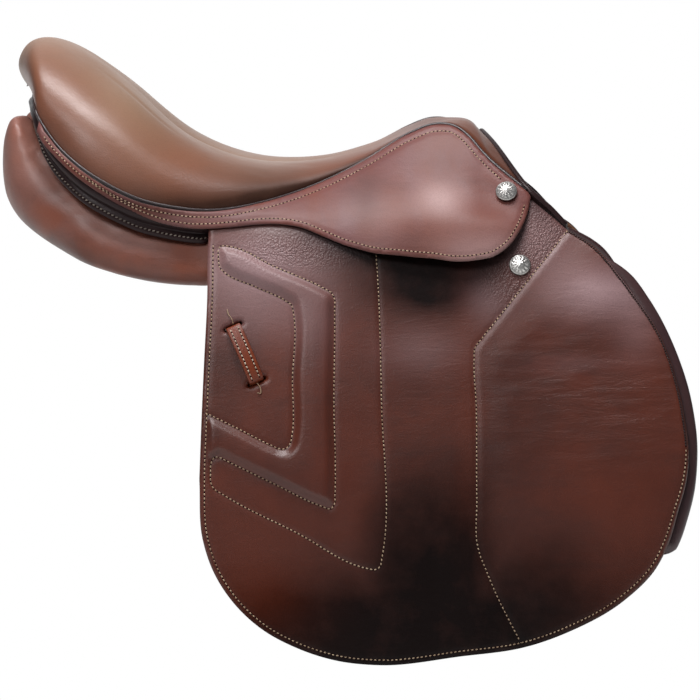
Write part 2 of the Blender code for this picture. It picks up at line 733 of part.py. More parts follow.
def skirt_top():
    """The skirt's top edge, tucked under the welt."""
    top = []
    for x in SKIRT_TOP_X:
        edge_z = EDGE_BY_X.at(x)[1]
        slope = (EDGE_BY_X.at(x + 0.002)[1] - EDGE_BY_X.at(x - 0.002)[1]) / 0.004
        length = math.hypot(slope, 1.0)
        top.append((x + SKIRT_TUCK * slope / length, edge_z - SKIRT_TUCK / length))
    return top


def make_skirts():
    """The skirt under the welt, fixed, and its lobe below the fold, which lifts."""
    top = skirt_top()
    start, end = LOBE_FOLD_REAR[0], LOBE_FOLD_FRONT_X
    corner = (end + FOLD_GAP, lobe_fold_z(end))
    low = SKIRT_REAR_EDGE + [LOBE_FOLD_REAR]
    lobe_start = (start + LOBE_INSET, lobe_fold_z(start + LOBE_INSET) - FOLD_GAP)
    lobe_end = (end, lobe_fold_z(end) - FOLD_GAP)
    lobe_low = [(start + LOBE_INSET, lobe_fold_z(start) - 2 * FOLD_GAP)] + SKIRT_LOBE_EDGE + [lobe_end]
    for name, sign in SIDES:
        fixed = outline(
            top + [SKIRT_TIP],
            [SKIRT_TIP, corner],
            [corner, low[-1]],
            list(reversed(low)),
            [low[0], top[0]],
            per_span=2,
        )
        side_sheet("skirt_" + name, fixed, over_bar(SKIRT_IN), over_bar(SKIRT_OUT), skirt_leather(), sign,
                   cells=(0.024, 0.013))
        lifted = outline([lobe_end, lobe_start], lobe_low, per_span=2)
        hinge = hinge_place("lobe", sign)
        side_sheet("skirt_lobe_" + name, lifted, over_bar(SKIRT_IN), over_bar(SKIRT_OUT), skirt_leather(),
                   sign, cells=(0.024, 0.013), origin=hinge)


def hinge_place(which, sign):
    """The rear end of a fold's axis."""
    if which == "lobe":
        x = LOBE_FOLD_REAR[0]
        place = on_side(x, lobe_fold_z(x), LOBE_HINGE_OUT)
    else:
        place = on_side(FOLD_REAR_X, FOLD_REAR_Z, FLAP_HINGE_OUT)
    return (place.x, place.y * -sign, place.z)


FLAP_FRONT = [(0.2885, -0.0325), (0.3096, -0.0625), (0.3203, -0.0849), (0.3266, -0.1073), (0.3312, -0.1314),
              (0.3345, -0.1660), (0.3312, -0.1890), (0.3253, -0.2080), (0.3150, -0.2392), (0.3058, -0.2562)]
FLAP_BOTTOM = [(0.3058, -0.2562), (0.2766, -0.2845), (0.2306, -0.3094), (0.1952, -0.3217), (0.1380, -0.3298),
               (0.0700, -0.3368), (0.0357, -0.3333), (-0.0036, -0.3206), (-0.0274, -0.3078),
               (-0.0552, -0.2823), (-0.0713, -0.2569), (-0.0798, -0.2318), (-0.0830, -0.1820)]
FLAP_REAR = [(-0.0830, -0.1820), (-0.0818, -0.1407), (-0.0797, -0.0830), (-0.0777, -0.0330),
             (-0.0775, 0.0134)]


def flap_outline():
    low_edge = FOLD_GAP
    front = [(FLAP_FRONT[0][0], fold_z(FLAP_FRONT[0][0]) - low_edge)] + FLAP_FRONT[1:]
    rear = FLAP_REAR[:-1] + [(FLAP_REAR[-1][0], fold_z(FLAP_REAR[-1][0]) - low_edge)]
    return outline(front, FLAP_BOTTOM, rear, [rear[-1], front[0]], per_span=3)


def slot_box(centre, sign, name):
    """Cutter for one of the keeper's slots, square to the keeper."""
    along = Vector((math.cos(KEEPER_TILT), math.sin(KEEPER_TILT)))
    across = Vector((-along.y, along.x))
    corners = []
    for a, b in ((-0.5, -0.5), (0.5, -0.5), (0.5, 0.5), (-0.5, 0.5)):
        corners.append(Vector(centre) + along * SLOT_WIDTH * a + across * SLOT_LENGTH * b)
    return sheet_cutter(name, corners, sign, FLAP_IN - 0.004, 0.004)


def sheet_cutter(name, corners, sign, inner, outer):
    points = [on_side(c[0], c[1], outer) for c in corners] + [on_side(c[0], c[1], inner) for c in corners]
    count = len(corners)
    faces = [tuple(range(count)), tuple(reversed(range(count, 2 * count)))]
    faces += [(k, (k + 1) % count, (k + 1) % count + count, k + count) for k in range(count)]
    return cutter(name, to_side([tuple(p) for p in points], sign), faces)


def keeper_place(along, across, out):
    """A place on the keeper, from its centre, this far outside the flap."""
    direction = Vector((math.cos(KEEPER_TILT), math.sin(KEEPER_TILT)))
    sideways = Vector((-direction.y, direction.x))
    flat = Vector(KEEPER_CENTRE) + direction * along + sideways * across
    return on_side(flat.x, flat.y, out)


def make_flaps():
    """The flap below its fold, with the keeper's slots, and its fixed top under the skirt."""
    for name, sign in SIDES:
        hinge = hinge_place("flap", sign)
        flap = side_sheet("flap_" + name, flap_outline(), level(FLAP_IN), level(0.0), flap_leather(), sign,
                          cells=(0.042, 0.036), origin=hinge)
        along = Vector((math.cos(KEEPER_TILT), math.sin(KEEPER_TILT)))
        for end, half in (("top", -0.5), ("bottom", 0.5)):
            centre = Vector(KEEPER_CENTRE) + along * KEEPER_SPAN * half
            cut(flap, slot_box(centre, sign, "cut_%s_%s" % (end, name)))
        upper = outline(
            [(0.2885, fold_z(0.2885)), (FOLD_REAR_X + 0.0010, fold_z(FOLD_REAR_X + 0.0010))],
            [(FOLD_REAR_X + 0.0010, fold_z(FOLD_REAR_X + 0.0010)), (-0.077, 0.028)],
            [(-0.077, 0.028), (-0.040, 0.032), (0.000, 0.040), (0.060, 0.060), (0.100, 0.078),
             (0.130, 0.084), (0.160, 0.068), (0.190, 0.054), (0.2045, 0.0490)],
            [(0.2045, 0.0490), (0.2194, 0.0373), (0.2347, 0.0234), (0.2564, 0.0048), (0.2766, -0.0173),
             (0.2885, fold_z(0.2885))],
            per_span=2,
        )
        fixed = side_sheet("flap_top_" + name, upper, level(FLAP_IN), level(0.0), flap_leather(), sign,
                           cells=(0.030, 0.014))
        rear, front = BAR_REAR_X - CATCH_LENGTH - WINDOW_MARGIN, BAR_FRONT_X + WINDOW_MARGIN
        low, high = BAR_Z - BAR_HEIGHT / 2 - 0.009, BAR_Z + BAR_HEIGHT / 2 + 0.011
        window = [(rear, low), (front, low), (front, high), (rear, high)]
        cut(fixed, sheet_cutter("cut_window_" + name, window, sign, FLAP_IN - 0.002, 0.004))


def make_flap_pads():
    """The raised chevron stitched on the flap's outer face."""
    for name, sign in SIDES:
        loop = outline(
            [(-0.0670, 0.0070), (-0.0590, 0.0085), (-0.0200, -0.0065), (0.0200, -0.0240)],
            [(0.0200, -0.0240), (0.0275, -0.0290), (0.0300, -0.0370)],
            [(0.0300, -0.0370), (0.0295, -0.1165), (0.0305, -0.2000)],
            [(0.0305, -0.2000), (0.0280, -0.2045), (0.0225, -0.2030)],
            [(0.0225, -0.2030), (-0.0200, -0.1830), (-0.0665, -0.1610), (-0.0785, -0.1585)],
            [(-0.0785, -0.1585), (-0.0770, -0.1290)],
            [(-0.0770, -0.1290), (-0.0460, -0.1440), (-0.0185, -0.1570)],
            [(-0.0185, -0.1570), (-0.0110, -0.1590), (-0.0050, -0.1555), (-0.0030, -0.1480)],
            [(-0.0030, -0.1480), (-0.0020, -0.1000), (-0.0020, -0.0420)],
            [(-0.0020, -0.0420), (-0.0025, -0.0370), (-0.0060, -0.0340)],
            [(-0.0060, -0.0340), (-0.0350, -0.0205), (-0.0650, -0.0070)],
            [(-0.0650, -0.0070), (-0.0670, 0.0070)],
            per_span=2,
        )
        side_sheet("flap_pad_" + name, loop, level(FIT), level(FIT + PAD_THICK), flap_leather(), sign,
                   cells=(0.032, 0.030), origin=hinge_place("flap", sign))


def make_keepers():
    """The keeper: out through the upper slot, over the face in a low arch, and in through the lower one."""
    half = KEEPER_SPAN / 2
    lift = FIT + 0.0010
    inner_face = FLAP_IN - FIT - KEEPER_THICK
    middle = KEEPER_THICK / 2
    profile = [(-half - KEEPER_TAIL, inner_face + middle), (-half - 0.0030, inner_face + middle),
               (-half - 0.0004, inner_face + 0.0020), (-half, FLAP_IN / 2), (-half + 0.0010, lift),
               (-half + 0.0050, lift + middle + 0.0008), (-half * 0.4, lift + KEEPER_ARCH)]
    profile += [(-a, out) for a, out in reversed(profile)]
    run = smooth_run(profile, 2) + [profile[-1]]
    for name, sign in SIDES:
        points, faces = [], []
        for k, (a, out) in enumerate(run):
            before, after = run[max(k - 1, 0)], run[min(k + 1, len(run) - 1)]
            lean = Vector((after[0] - before[0], after[1] - before[1])).normalized()
            for across, side in ((-0.5, 0.5), (0.5, 0.5), (0.5, -0.5), (-0.5, -0.5)):
                shift = KEEPER_THICK * side
                place = keeper_place(a - lean.y * shift, KEEPER_WIDTH * across, out + lean.x * shift)
                points.append(tuple(place))
        for i in range(len(run) - 1):
            for k in range(4):
                a, b = 4 * i + k, 4 * i + (k + 1) % 4
                faces.append((a, b, b + 4, a + 4))
        faces.append((3, 2, 1, 0))
        faces.append(tuple(4 * (len(run) - 1) + k for k in range(4)))
        hinge = hinge_place("flap", sign)
        solid("leather_keeper_" + name, to_side(points, sign), faces, new_leather(), hinge)


def make_sweat_flaps():
    """The sweat flap behind the billets, and the knee roll on its front edge."""
    for name, sign in SIDES:
        rear_top = (-0.0640, fold_z(-0.0640) - 0.0140)
        loop = outline(
            [rear_top, (0.1000, fold_z(0.1000) - 0.0180), (0.2900, -0.0400)],
            [(0.2900, -0.0400), (0.3080, -0.0480), (0.3190, -0.0680), (0.3275, -0.0880), (0.3336, -0.1080),
             (0.3373, -0.1300), (0.3392, -0.1500), (0.3388, -0.1714), (0.3358, -0.1925), (0.3300, -0.2130),
             (0.3175, -0.2400), (0.3020, -0.2600)],
            [(0.3020, -0.2600), (0.2680, -0.2830), (0.2200, -0.3020), (0.1380, -0.3170), (0.0700, -0.3230),
             (0.0100, -0.3100), (-0.0350, -0.2850), (-0.0600, -0.2500), (-0.0690, -0.2000)],
            [(-0.0690, -0.2000), (-0.0680, -0.1200), rear_top],
            per_span=2,
        )
        side_sheet("sweat_flap_" + name, loop, level(SWEAT_IN), level(SWEAT_OUT), panel_leather(), sign,
                   cells=(0.048, 0.040))


def make_knee_rolls():
    route = [(0.2400, 0.0175), (0.2560, 0.0060), (0.2715, -0.0070), (0.2850, -0.0190), (0.2970, -0.0315),
             (0.3070, -0.0450), (0.3180, -0.0650), (0.3264, -0.0864), (0.3326, -0.1077), (0.3363, -0.1289),
             (0.3383, -0.1501), (0.3378, -0.1714), (0.3348, -0.1925), (0.3290, -0.2130), (0.3180, -0.2380)]
    centre = (FLAP_IN + SWEAT_OUT) / 2
    for name, sign in SIDES:
        path = [on_side(x, z, centre) for x, z in smooth_run(route, 2) + [route[-1]]]
        if sign > 0:
            path = [Vector((p.x, -p.y, p.z)) for p in path]
        tube("knee_roll_" + name, path, ROLL_RADIUS, 8, dark_leather())


def billet_loop(x):
    """Outline of a billet, with its rounded tip."""
    half, shoulder = BILLET_WIDTH / 2, BILLET_WIDTH * 0.275
    tip_z, shoulder_z = BILLET_END_Z + 0.016, BILLET_END_Z + 0.003
    right = [(x + shoulder, shoulder_z), (x + half, tip_z), (x + half, BILLET_TOP_Z)]
    left = [(x - half, BILLET_TOP_Z), (x - half, tip_z), (x - shoulder, shoulder_z)]
    return left + [(x, BILLET_END_Z)] + right


def billet_pivot(x, sign):
    place = on_side(x, BILLET_PIVOT_Z, (BILLET_IN + BILLET_OUT) / 2)
    return (place.x, place.y * -sign, place.z)


def make_billets():
    """Three girth billets on each side with their punched holes, under one web."""
    for name, sign in SIDES:
        for place, x in zip(("rear", "middle", "front"), BILLET_X):
            billet = side_sheet("billet_%s_%s" % (place, name), billet_loop(x), level(BILLET_IN),
                                level(BILLET_OUT), flap_leather(), sign, cells=(0.040, 0.046),
                                origin=billet_pivot(x, sign))
            for k in range(BILLET_HOLES):
                z = BILLET_END_Z + 0.045 + BILLET_HOLE_PITCH * k
                ring = [(x + BILLET_HOLE_RADIUS * math.cos(2 * math.pi * a / 6),
                         z + BILLET_HOLE_RADIUS * math.sin(2 * math.pi * a / 6)) for a in range(6)]
                tool = sheet_cutter("cut_hole_%s_%s_%d" % (place, name, k), ring, sign,
                                    BILLET_IN - 0.001, BILLET_OUT + 0.001)
                cut(billet, tool)
        low, edge = BILLET_PIVOT_Z - 0.018, BILLET_WIDTH / 2 + 0.004
        rear, front = BILLET_X[0] - edge, BILLET_X[2] + edge
        step = BILLET_X[1] + edge
        web = [(rear, low), (front, low), (front, -0.0070), (step, -0.0020), (step, 0.0180), (rear, 0.0220)]
        side_sheet("billet_web_" + name, web, level(BILLET_WEB_IN), level(BILLET_WEB_OUT), webbing(), sign,
                   cells=(0.026, 0.013))


def side_frame(x, z, sign):
    """Directions at a place on the side: along the saddle, up the side, and outwards."""
    out = side_normal(x, z)
    along = Vector((1, 0, 0)) - out * out.x
    along.normalize()
    up = out.cross(along) if out.cross(along).z > 0 else along.cross(out)
    if sign > 0:
        out, along, up = (Vector((v.x, -v.y, v.z)) for v in (out, along, up))
    return along, up, out


def bar_place(x, z, out, sign):
    """A place on the stirrup bar: x and z from the bar's middle, out from the flap's outer face."""
    middle = ((BAR_REAR_X + BAR_FRONT_X) / 2, BAR_Z)
    centre = on_side(*middle)
    if sign > 0:
        centre.y = -centre.y
    along, up, outwards = side_frame(*middle, sign)
    return centre + along * (x - middle[0]) + up * (z - middle[1]) + outwards * out


def bar_extrude(name, profile, low, high, finish, sign, origin=(0, 0, 0)):
    """A forging whose profile of x and out is extruded between two heights."""
    points = [bar_place(x, low, out, sign) for x, out in profile]
    points += [bar_place(x, high, out, sign) for x, out in profile]
    count = len(profile)
    faces = [tuple(range(count)), tuple(reversed(range(count, 2 * count)))]
    faces += [(k, (k + 1) % count, (k + 1) % count + count, k + count) for k in range(count)]
    return solid(name, points, faces, finish, origin)


def bar_drill(x, z, radius, low, high, sign, sides=16):
    """A round body across the stirrup bar, between two distances outwards."""
    ring = arc(x, z, radius, 0, 360, sides)[:-1]
    points = [bar_place(a, b, low, sign) for a, b in ring] + [bar_place(a, b, high, sign) for a, b in ring]
    faces = [tuple(range(sides)), tuple(reversed(range(sides, 2 * sides)))]
    faces += [(k, (k + 1) % sides, (k + 1) % sides + sides, k + sides) for k in range(sides)]
    return points, faces


def bar_box(x_span, z_span, out_span, sign):
    """A box on the stirrup bar's own directions."""
    (rear, front), (low, high) = x_span, z_span
    corners = [(rear, low), (front, low), (front, high), (rear, high)]
    points = [bar_place(x, z, out, sign) for out in out_span for x, z in corners]
    faces = [(0, 1, 2, 3), (7, 6, 5, 4)] + [(k, (k + 1) % 4, (k + 1) % 4 + 4, k + 4) for k in range(4)]
    return points, faces


def arc(cx, cy, radius, start, end, steps):
    """Points on an arc between two angles in degrees."""
    turns = [math.radians(start + (end - start) * k / steps) for k in range(steps + 1)]
    return [(cx + radius * math.cos(turn), cy + radius * math.sin(turn)) for turn in turns]


def make_stirrup_bars():
    """Forged bar, open to the rear, closed there by a thumb catch on its own pin."""
    pin_x = BAR_REAR_X + 0.0045
    lap = BAR_IN + BAR_THICK / 2
    bend = 0.0040
    low, high = BAR_Z - BAR_HEIGHT / 2, BAR_Z + BAR_HEIGHT / 2
    base_rear = BAR_REAR_X - 0.004
    base_front = BAR_FRONT_X + 0.010
    profile = [(base_rear, BAR_BASE_IN), (base_front, BAR_BASE_IN), (base_front, BAR_BASE_OUT)]
    profile += [(BAR_FRONT_X + 0.0015, BAR_BASE_OUT + 0.0010)]
    profile += arc(BAR_FRONT_X - bend, BAR_OUT - bend, bend, 0, 90, 4)
    profile += [(BAR_REAR_X + 0.0015, BAR_OUT), (BAR_REAR_X, BAR_OUT - 0.0006), (BAR_REAR_X, lap + FIT / 2)]
    profile += [(BAR_REAR_X + 0.010, lap + FIT / 2), (BAR_REAR_X + 0.010, BAR_IN)]
    profile += [(BAR_FRONT_X - 0.0085, BAR_IN), (BAR_FRONT_X - 0.0065, BAR_IN - 0.0020)]
    profile += [(BAR_FRONT_X - 0.0065, BAR_BASE_OUT), (base_rear, BAR_BASE_OUT)]
    for name, sign in SIDES:
        bar = bar_extrude("stirrup_bar_" + name, profile, low, high, stainless_steel(), sign)
        bore_radius = CATCH_PIN_RADIUS + PIN_CLEARANCE
        bore = bar_drill(pin_x, BAR_Z, bore_radius, BAR_IN - 0.001, BAR_OUT + 0.001, sign)
        cut(bar, cutter("cut_bar_" + name, *bore))
        seat = bar_box((base_rear - FIT, base_front + FIT), (low - FIT, high + FIT),
                       (BAR_BASE_IN - FIT, BAR_BASE_OUT), sign)
        cut(bpy.data.objects["tree_side_" + name], cutter("cut_seat_" + name, *seat))
        rivets = (("rear", base_rear + RIVET_INSET), ("front", base_front - RIVET_INSET))
        for place, x in rivets:
            drill = bar_drill(x, BAR_Z, RIVET_RADIUS + FIT, TREE_SIDE_IN - DRILL_OVERRUN,
                              BAR_BASE_OUT + 0.002, sign)
            hole = cutter("cut_rivet_%s_%s" % (place, name), *drill)
            cut(bar, hole)
            cut(bpy.data.objects["tree_side_" + name], hole)
            body = bar_drill(x, BAR_Z, RIVET_RADIUS, TREE_SIDE_IN + 0.0005, BAR_BASE_OUT + 0.0006, sign, 12)
            solid("bar_rivet_%s_%s" % (place, name), *body, spring_steel())
        pivot = bar_place(pin_x, BAR_Z, lap, sign)
        tip = BAR_REAR_X - CATCH_LENGTH
        catch_profile = arc(pin_x, BAR_Z, 0.0044, -90, 90, 6) + [(tip + 0.004, BAR_Z + 0.0040)]
        catch_profile += arc(tip + 0.003, BAR_Z, 0.0036, 100, 260, 4) + [(tip + 0.004, BAR_Z - 0.0040)]
        count = len(catch_profile)
        points = [bar_place(x, z, BAR_IN, sign) for x, z in catch_profile]
        points += [bar_place(x, z, lap - FIT / 2, sign) for x, z in catch_profile]
        faces = [tuple(range(count)), tuple(reversed(range(count, 2 * count)))]
        faces += [(k, (k + 1) % count, (k + 1) % count + count, k + count) for k in range(count)]
        catch = solid("bar_catch_" + name, points, faces, stainless_steel(), tuple(pivot))
        cut(catch, cutter("cut_catch_" + name, *bore))
        pin = bar_drill(pin_x, BAR_Z, CATCH_PIN_RADIUS, BAR_IN - 0.0002, BAR_OUT + 0.0004, sign)
        solid("catch_pin_" + name, *pin, spring_steel())


def make_cantle_facing():
    """Stitched strip between the skirt and the panels, round the cantle from side to side."""
    shares = even(0.0, 0.30, 8) + even(0.36, 0.55, 4)
    right = list(reversed(shares))
    order = [(s, -1) for s in right] + [(s, 1) for s in shares[1:]]
    upper, lower = [], []
    for s, sign in order:
        edge, out = edge_place(s), edge_outwards(s)
        drop = 0.019 + 0.013 * min(1.0, s / 0.22)
        tuck, spread = min(1.0, s / 0.16), 0.0050 * max(0.0, 1.0 - s / 0.22)
        for share, flare in ((0.16, -0.0042 * tuck), (0.58, 0.5 * spread - 0.0036 * tuck),
                             (1.0, spread - 0.0016 * tuck)):
            face = edge + out * flare + Vector((0, 0, -drop * share))
            back = face - out * FACING_THICK
            for group, place in ((upper, face), (lower, back)):
                group.append((place.x, place.y * sign, place.z))
    cells = []
    for i in range(len(order) - 1):
        for k in range(2):
            a = 3 * i + k
            cells.append((a, a + 1, a + 4, a + 3))
    layered("cantle_facing", upper, lower, cells, len(upper), dark_leather())


def make_pommel_facing():
    """Dark facing round the front arch: it lies on the cover's front edge, then runs on to the flap."""
    last = SEAT_ROWS[-1]
    outer = [seat_place(last, t) + Vector((2 * FIT, 0, -0.0006)) for t in HALF_STEPS]
    outer += [Vector((0.2170, 0.1190 * WIDTH_SCALE, 0.0420)), Vector((0.2310, 0.1230 * WIDTH_SCALE, 0.0270))]
    drop = SmoothTable([(0.0, 0.0240, 1.00), (0.06, 0.0230, 0.86), (0.11, 0.0180, 0.88),
                        (0.14, 0.0120, 0.90)])
    half = []
    for top in outer:
        fall, pull = drop.at(top.y)
        half.append((top, Vector((top.x + 0.0020, top.y * pull, top.z - fall))))
    order = [(k, -1) for k in reversed(range(len(half)))] + [(k, 1) for k in range(1, len(half))]
    upper, lower = [], []
    for k, sign in order:
        top, low = half[k]
        for share in (0.0, 0.5, 1.0):
            place = top.lerp(low, share)
            bow = 0.0015 * math.sin(math.pi * share)
            lower.append((place.x + bow, place.y * sign, place.z))
            upper.append((place.x + bow + POMMEL_BAND_THICK, place.y * sign, place.z))
    cells = []
    for i in range(len(order) - 1):
        for k in range(2):
            a = 3 * i + k
            cells.append((a, a + 1, a + 4, a + 3))
    layered("pommel_facing", upper, lower, cells, len(upper), dark_leather())


def make_nail(name, x, z, out, sign):
    """A domed nail head, flat behind."""
    along, up, outwards = side_frame(x, z, sign)
    centre = on_side(x, z)
    if sign > 0:
        centre.y = -centre.y
    centre = centre + outwards * out
    rings, sides = 3, 14
    points, faces = [], []
    for k in range(rings):
        angle = 0.5 * math.pi * k / rings
        radius, height = NAIL_RADIUS * math.cos(angle), NAIL_HEIGHT * math.sin(angle)
        for a in range(sides):
            turn = 2 * math.pi * a / sides
            spoke = along * math.cos(turn) + up * math.sin(turn)
            points.append(centre + spoke * radius + outwards * height)
    points.append(centre + outwards * NAIL_HEIGHT)
    for k in range(rings - 1):
        for a in range(sides):
            b = (a + 1) % sides
            faces.append((sides * k + a, sides * k + b, sides * (k + 1) + b, sides * (k + 1) + a))
    top = len(points) - 1
    faces += [(sides * (rings - 1) + a, sides * (rings - 1) + (a + 1) % sides, top) for a in range(sides)]
    faces.append(tuple(reversed(range(sides))))
    return solid(name, points, faces, antique_silver())


def make_nails():
    for name, sign in SIDES:
        stand_off = SKIRT_OUT + skirt_bulge(*SKIRT_NAIL) + 0.0028
        make_nail("skirt_nail_" + name, *SKIRT_NAIL, stand_off, sign)
        make_nail("flap_nail_" + name, *FLAP_NAIL, 0.0009, sign)


def main():
    clear_scene()
    make_seat()
    make_webs()
    make_tree()
    make_tree_sides()
    make_head_plate()
    make_panels()
    make_channel_lining()
    make_welt()
    make_skirts()
    make_flaps()
    make_flap_pads()
    make_keepers()
    make_sweat_flaps()
    make_knee_rolls()
    make_billets()
    make_stirrup_bars()
    make_cantle_facing()
    make_pommel_facing()
    make_nails()


main()
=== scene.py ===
# Looks of a used close-contact saddle in brown leather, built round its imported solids.
# Units are metres. +X points to the horse's head, +Y to the saddle's left, +Z up.

import json
import math

import bmesh
import bpy
import numpy as np
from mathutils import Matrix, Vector, geometry, noise


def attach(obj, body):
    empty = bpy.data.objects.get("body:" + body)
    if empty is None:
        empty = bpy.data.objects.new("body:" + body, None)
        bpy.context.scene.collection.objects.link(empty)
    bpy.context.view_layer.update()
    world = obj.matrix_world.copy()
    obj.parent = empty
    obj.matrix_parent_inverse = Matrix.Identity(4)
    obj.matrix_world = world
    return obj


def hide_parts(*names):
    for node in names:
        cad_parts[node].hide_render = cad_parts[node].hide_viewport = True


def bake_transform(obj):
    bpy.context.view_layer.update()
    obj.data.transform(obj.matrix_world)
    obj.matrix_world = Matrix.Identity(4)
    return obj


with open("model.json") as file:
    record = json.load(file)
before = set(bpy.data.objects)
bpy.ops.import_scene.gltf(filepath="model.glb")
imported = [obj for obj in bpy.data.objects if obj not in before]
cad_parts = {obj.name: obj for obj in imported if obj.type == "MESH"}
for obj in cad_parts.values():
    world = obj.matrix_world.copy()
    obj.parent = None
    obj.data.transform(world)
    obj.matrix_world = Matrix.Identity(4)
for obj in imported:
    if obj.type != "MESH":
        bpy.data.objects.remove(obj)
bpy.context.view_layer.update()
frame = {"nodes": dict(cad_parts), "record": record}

SIDES = (("right", -1), ("left", 1))

# Leather thicknesses and layers, as distances outwards from the flap's outer face
COVER_THICK = 0.0022
SKIRT_IN = 0.0009
SKIRT_OUT = 0.0033
FLAP_IN = -0.0035
PAD_RISE = 0.0046

# The form that the side leathers hang on
FOLD_HALF_WIDTH = 0.150
FOLD_REAR_X = -0.0783
FOLD_REAR_Z = 0.0144
FOLD_SLOPE = -0.1252
FLARE = 0.40
FLARE_EASING = 0.40
BULGE_HEIGHT = 0.0092
BULGE_CENTRE = (0.130, 0.0195)
BULGE_LENGTH = 0.060
BULGE_DEPTH = 0.0115
# A place inside the saddle, which tells out from in
CORE = np.array((-0.040, 0.0, -0.100))

# Thread
STITCH_PITCH = 0.0036
STITCH_LENGTH = 0.0024
STITCH_RADIUS = 0.00057
STITCH_LEAN = 0.16
# Each ring of a stitch: its place along the stitch and its share of the radius
STITCH_RINGS = ((-0.5, 0.35), (-0.30, 0.95), (0.0, 1.0), (0.30, 0.95), (0.5, 0.35))
STITCH_SIDES = 6
STITCH_FLATNESS = 0.8
STITCH_RISE = 0.25 * STITCH_RADIUS
STITCH_END_SINK = 0.9 * STITCH_RADIUS
# The flat dark disc at each stitch hole, painted shade for the hole's inside
HOLE_RADIUS = 0.00072
HOLE_LIFT = 0.00022
HOLE_SIDES = 8

# Cut edges: the radius of their rounding, its limit as a share of the thickness, its share on the inner face,
# and how far the inner face's pattern is from the outer one's
ROUND_OVER = 0.0016
ROUND_LIMIT = 0.45
INNER_ROUNDING = 0.6
FLESH_SIDE_SHIFT = 0.4


class SmoothTable:
    """Rows of given values, read at any keys on a smooth curve through them."""

    def __init__(self, rows):
        table = np.array(rows, dtype=float)
        self.keys = table[:, 0]
        self.values = table[:, 1:]
        self.slopes = np.gradient(self.values, self.keys, axis=0)

    def at(self, key):
        key = np.asarray(key, dtype=float)
        i = np.clip(np.searchsorted(self.keys, key, side="right") - 1, 0, len(self.keys) - 2)
        span = (self.keys[i + 1] - self.keys[i])[..., None]
        t = ((key - self.keys[i])[..., None]) / span
        u = np.clip(t, 0.0, 1.0)
        hold, turn = (1 - u) ** 2 * (1 + 2 * u), (1 - u) ** 2 * u
        reach, bend = u * u * (3 - 2 * u), u * u * (u - 1)
        place = hold * self.values[i] + reach * self.values[i + 1]
        place = place + span * (turn * self.slopes[i] + bend * self.slopes[i + 1])
        beyond = (t - u) * span
        return place + beyond * np.where(t > 1, self.slopes[i + 1], self.slopes[i])


# Sections of the seat from the rear to the pommel: share, centreline x and z,
# then x, half width and z of the seat's edge, the rim's rise beside the centre, and the fullness of the side
SEAT_SECTIONS = SmoothTable([
    (0.00, -0.2412, 0.1400, -0.2412, 0.0000, 0.1400, 0.000, 0.62),
    (0.05, -0.2500, 0.1640, -0.2368, 0.0450, 0.1385, 0.000, 0.62),
    (0.10, -0.2485, 0.1810, -0.2332, 0.0830, 0.1345, 0.000, 0.62),
    (0.15, -0.2395, 0.1880, -0.2287, 0.1100, 0.1273, 0.000, 0.62),
    (0.20, -0.2268, 0.1900, -0.2236, 0.1180, 0.1172, 0.000, 0.62),
    (0.25, -0.2075, 0.1850, -0.2098, 0.1280, 0.0986, 0.000, 0.62),
    (0.30, -0.1860, 0.1708, -0.1934, 0.1380, 0.0835, 0.003, 0.62),
    (0.35, -0.1635, 0.1500, -0.1757, 0.1440, 0.0710, 0.006, 0.62),
    (0.42, -0.1285, 0.1185, -0.1411, 0.1480, 0.0531, 0.009, 0.62),
    (0.49, -0.0940, 0.0935, -0.1069, 0.1455, 0.0443, 0.0105, 0.62),
    (0.55, -0.0620, 0.0800, -0.0761, 0.1390, 0.0412, 0.0095, 0.62),
    (0.63, -0.0200, 0.0740, -0.0317, 0.1210, 0.0469, 0.006, 0.62),
    (0.70, 0.0230, 0.0790, 0.0134, 0.0970, 0.0602, 0.0025, 0.62),
    (0.77, 0.0640, 0.0912, 0.0583, 0.0740, 0.0809, 0.000, 0.62),
    (0.83, 0.1010, 0.1048, 0.0984, 0.0620, 0.1042, 0.000, 0.56),
    (0.87, 0.1230, 0.1118, 0.1224, 0.0620, 0.1122, 0.000, 0.54),
    (0.90, 0.1380, 0.1145, 0.1399, 0.0680, 0.1098, 0.000, 0.50),
    (0.92, 0.1460, 0.1140, 0.1494, 0.0760, 0.1031, 0.000, 0.45),
    (0.95, 0.1540, 0.1115, 0.1630, 0.0890, 0.0879, -0.001, 0.38),
    (0.98, 0.1590, 0.1075, 0.1774, 0.1010, 0.0745, -0.004, 0.32),
    (1.00, 0.1620, 0.1030, 0.2029, 0.1170, 0.0545, -0.006, 0.28),
])
EDGE_COLUMNS = slice(2, 5)
SEAT_CURVE_POINTS = 61
SEAT_LEAST_RISE = 0.008

# The seat's edge by x, and the line that carries it on to the front
EDGE_BY_X = SmoothTable([*SEAT_SECTIONS.values[:, EDGE_COLUMNS], (0.2347, 0.1260, 0.0240),
                         (0.2640, 0.1380, 0.0010), (0.3000, 0.1450, -0.0170), (0.3400, 0.1480, -0.0260)])

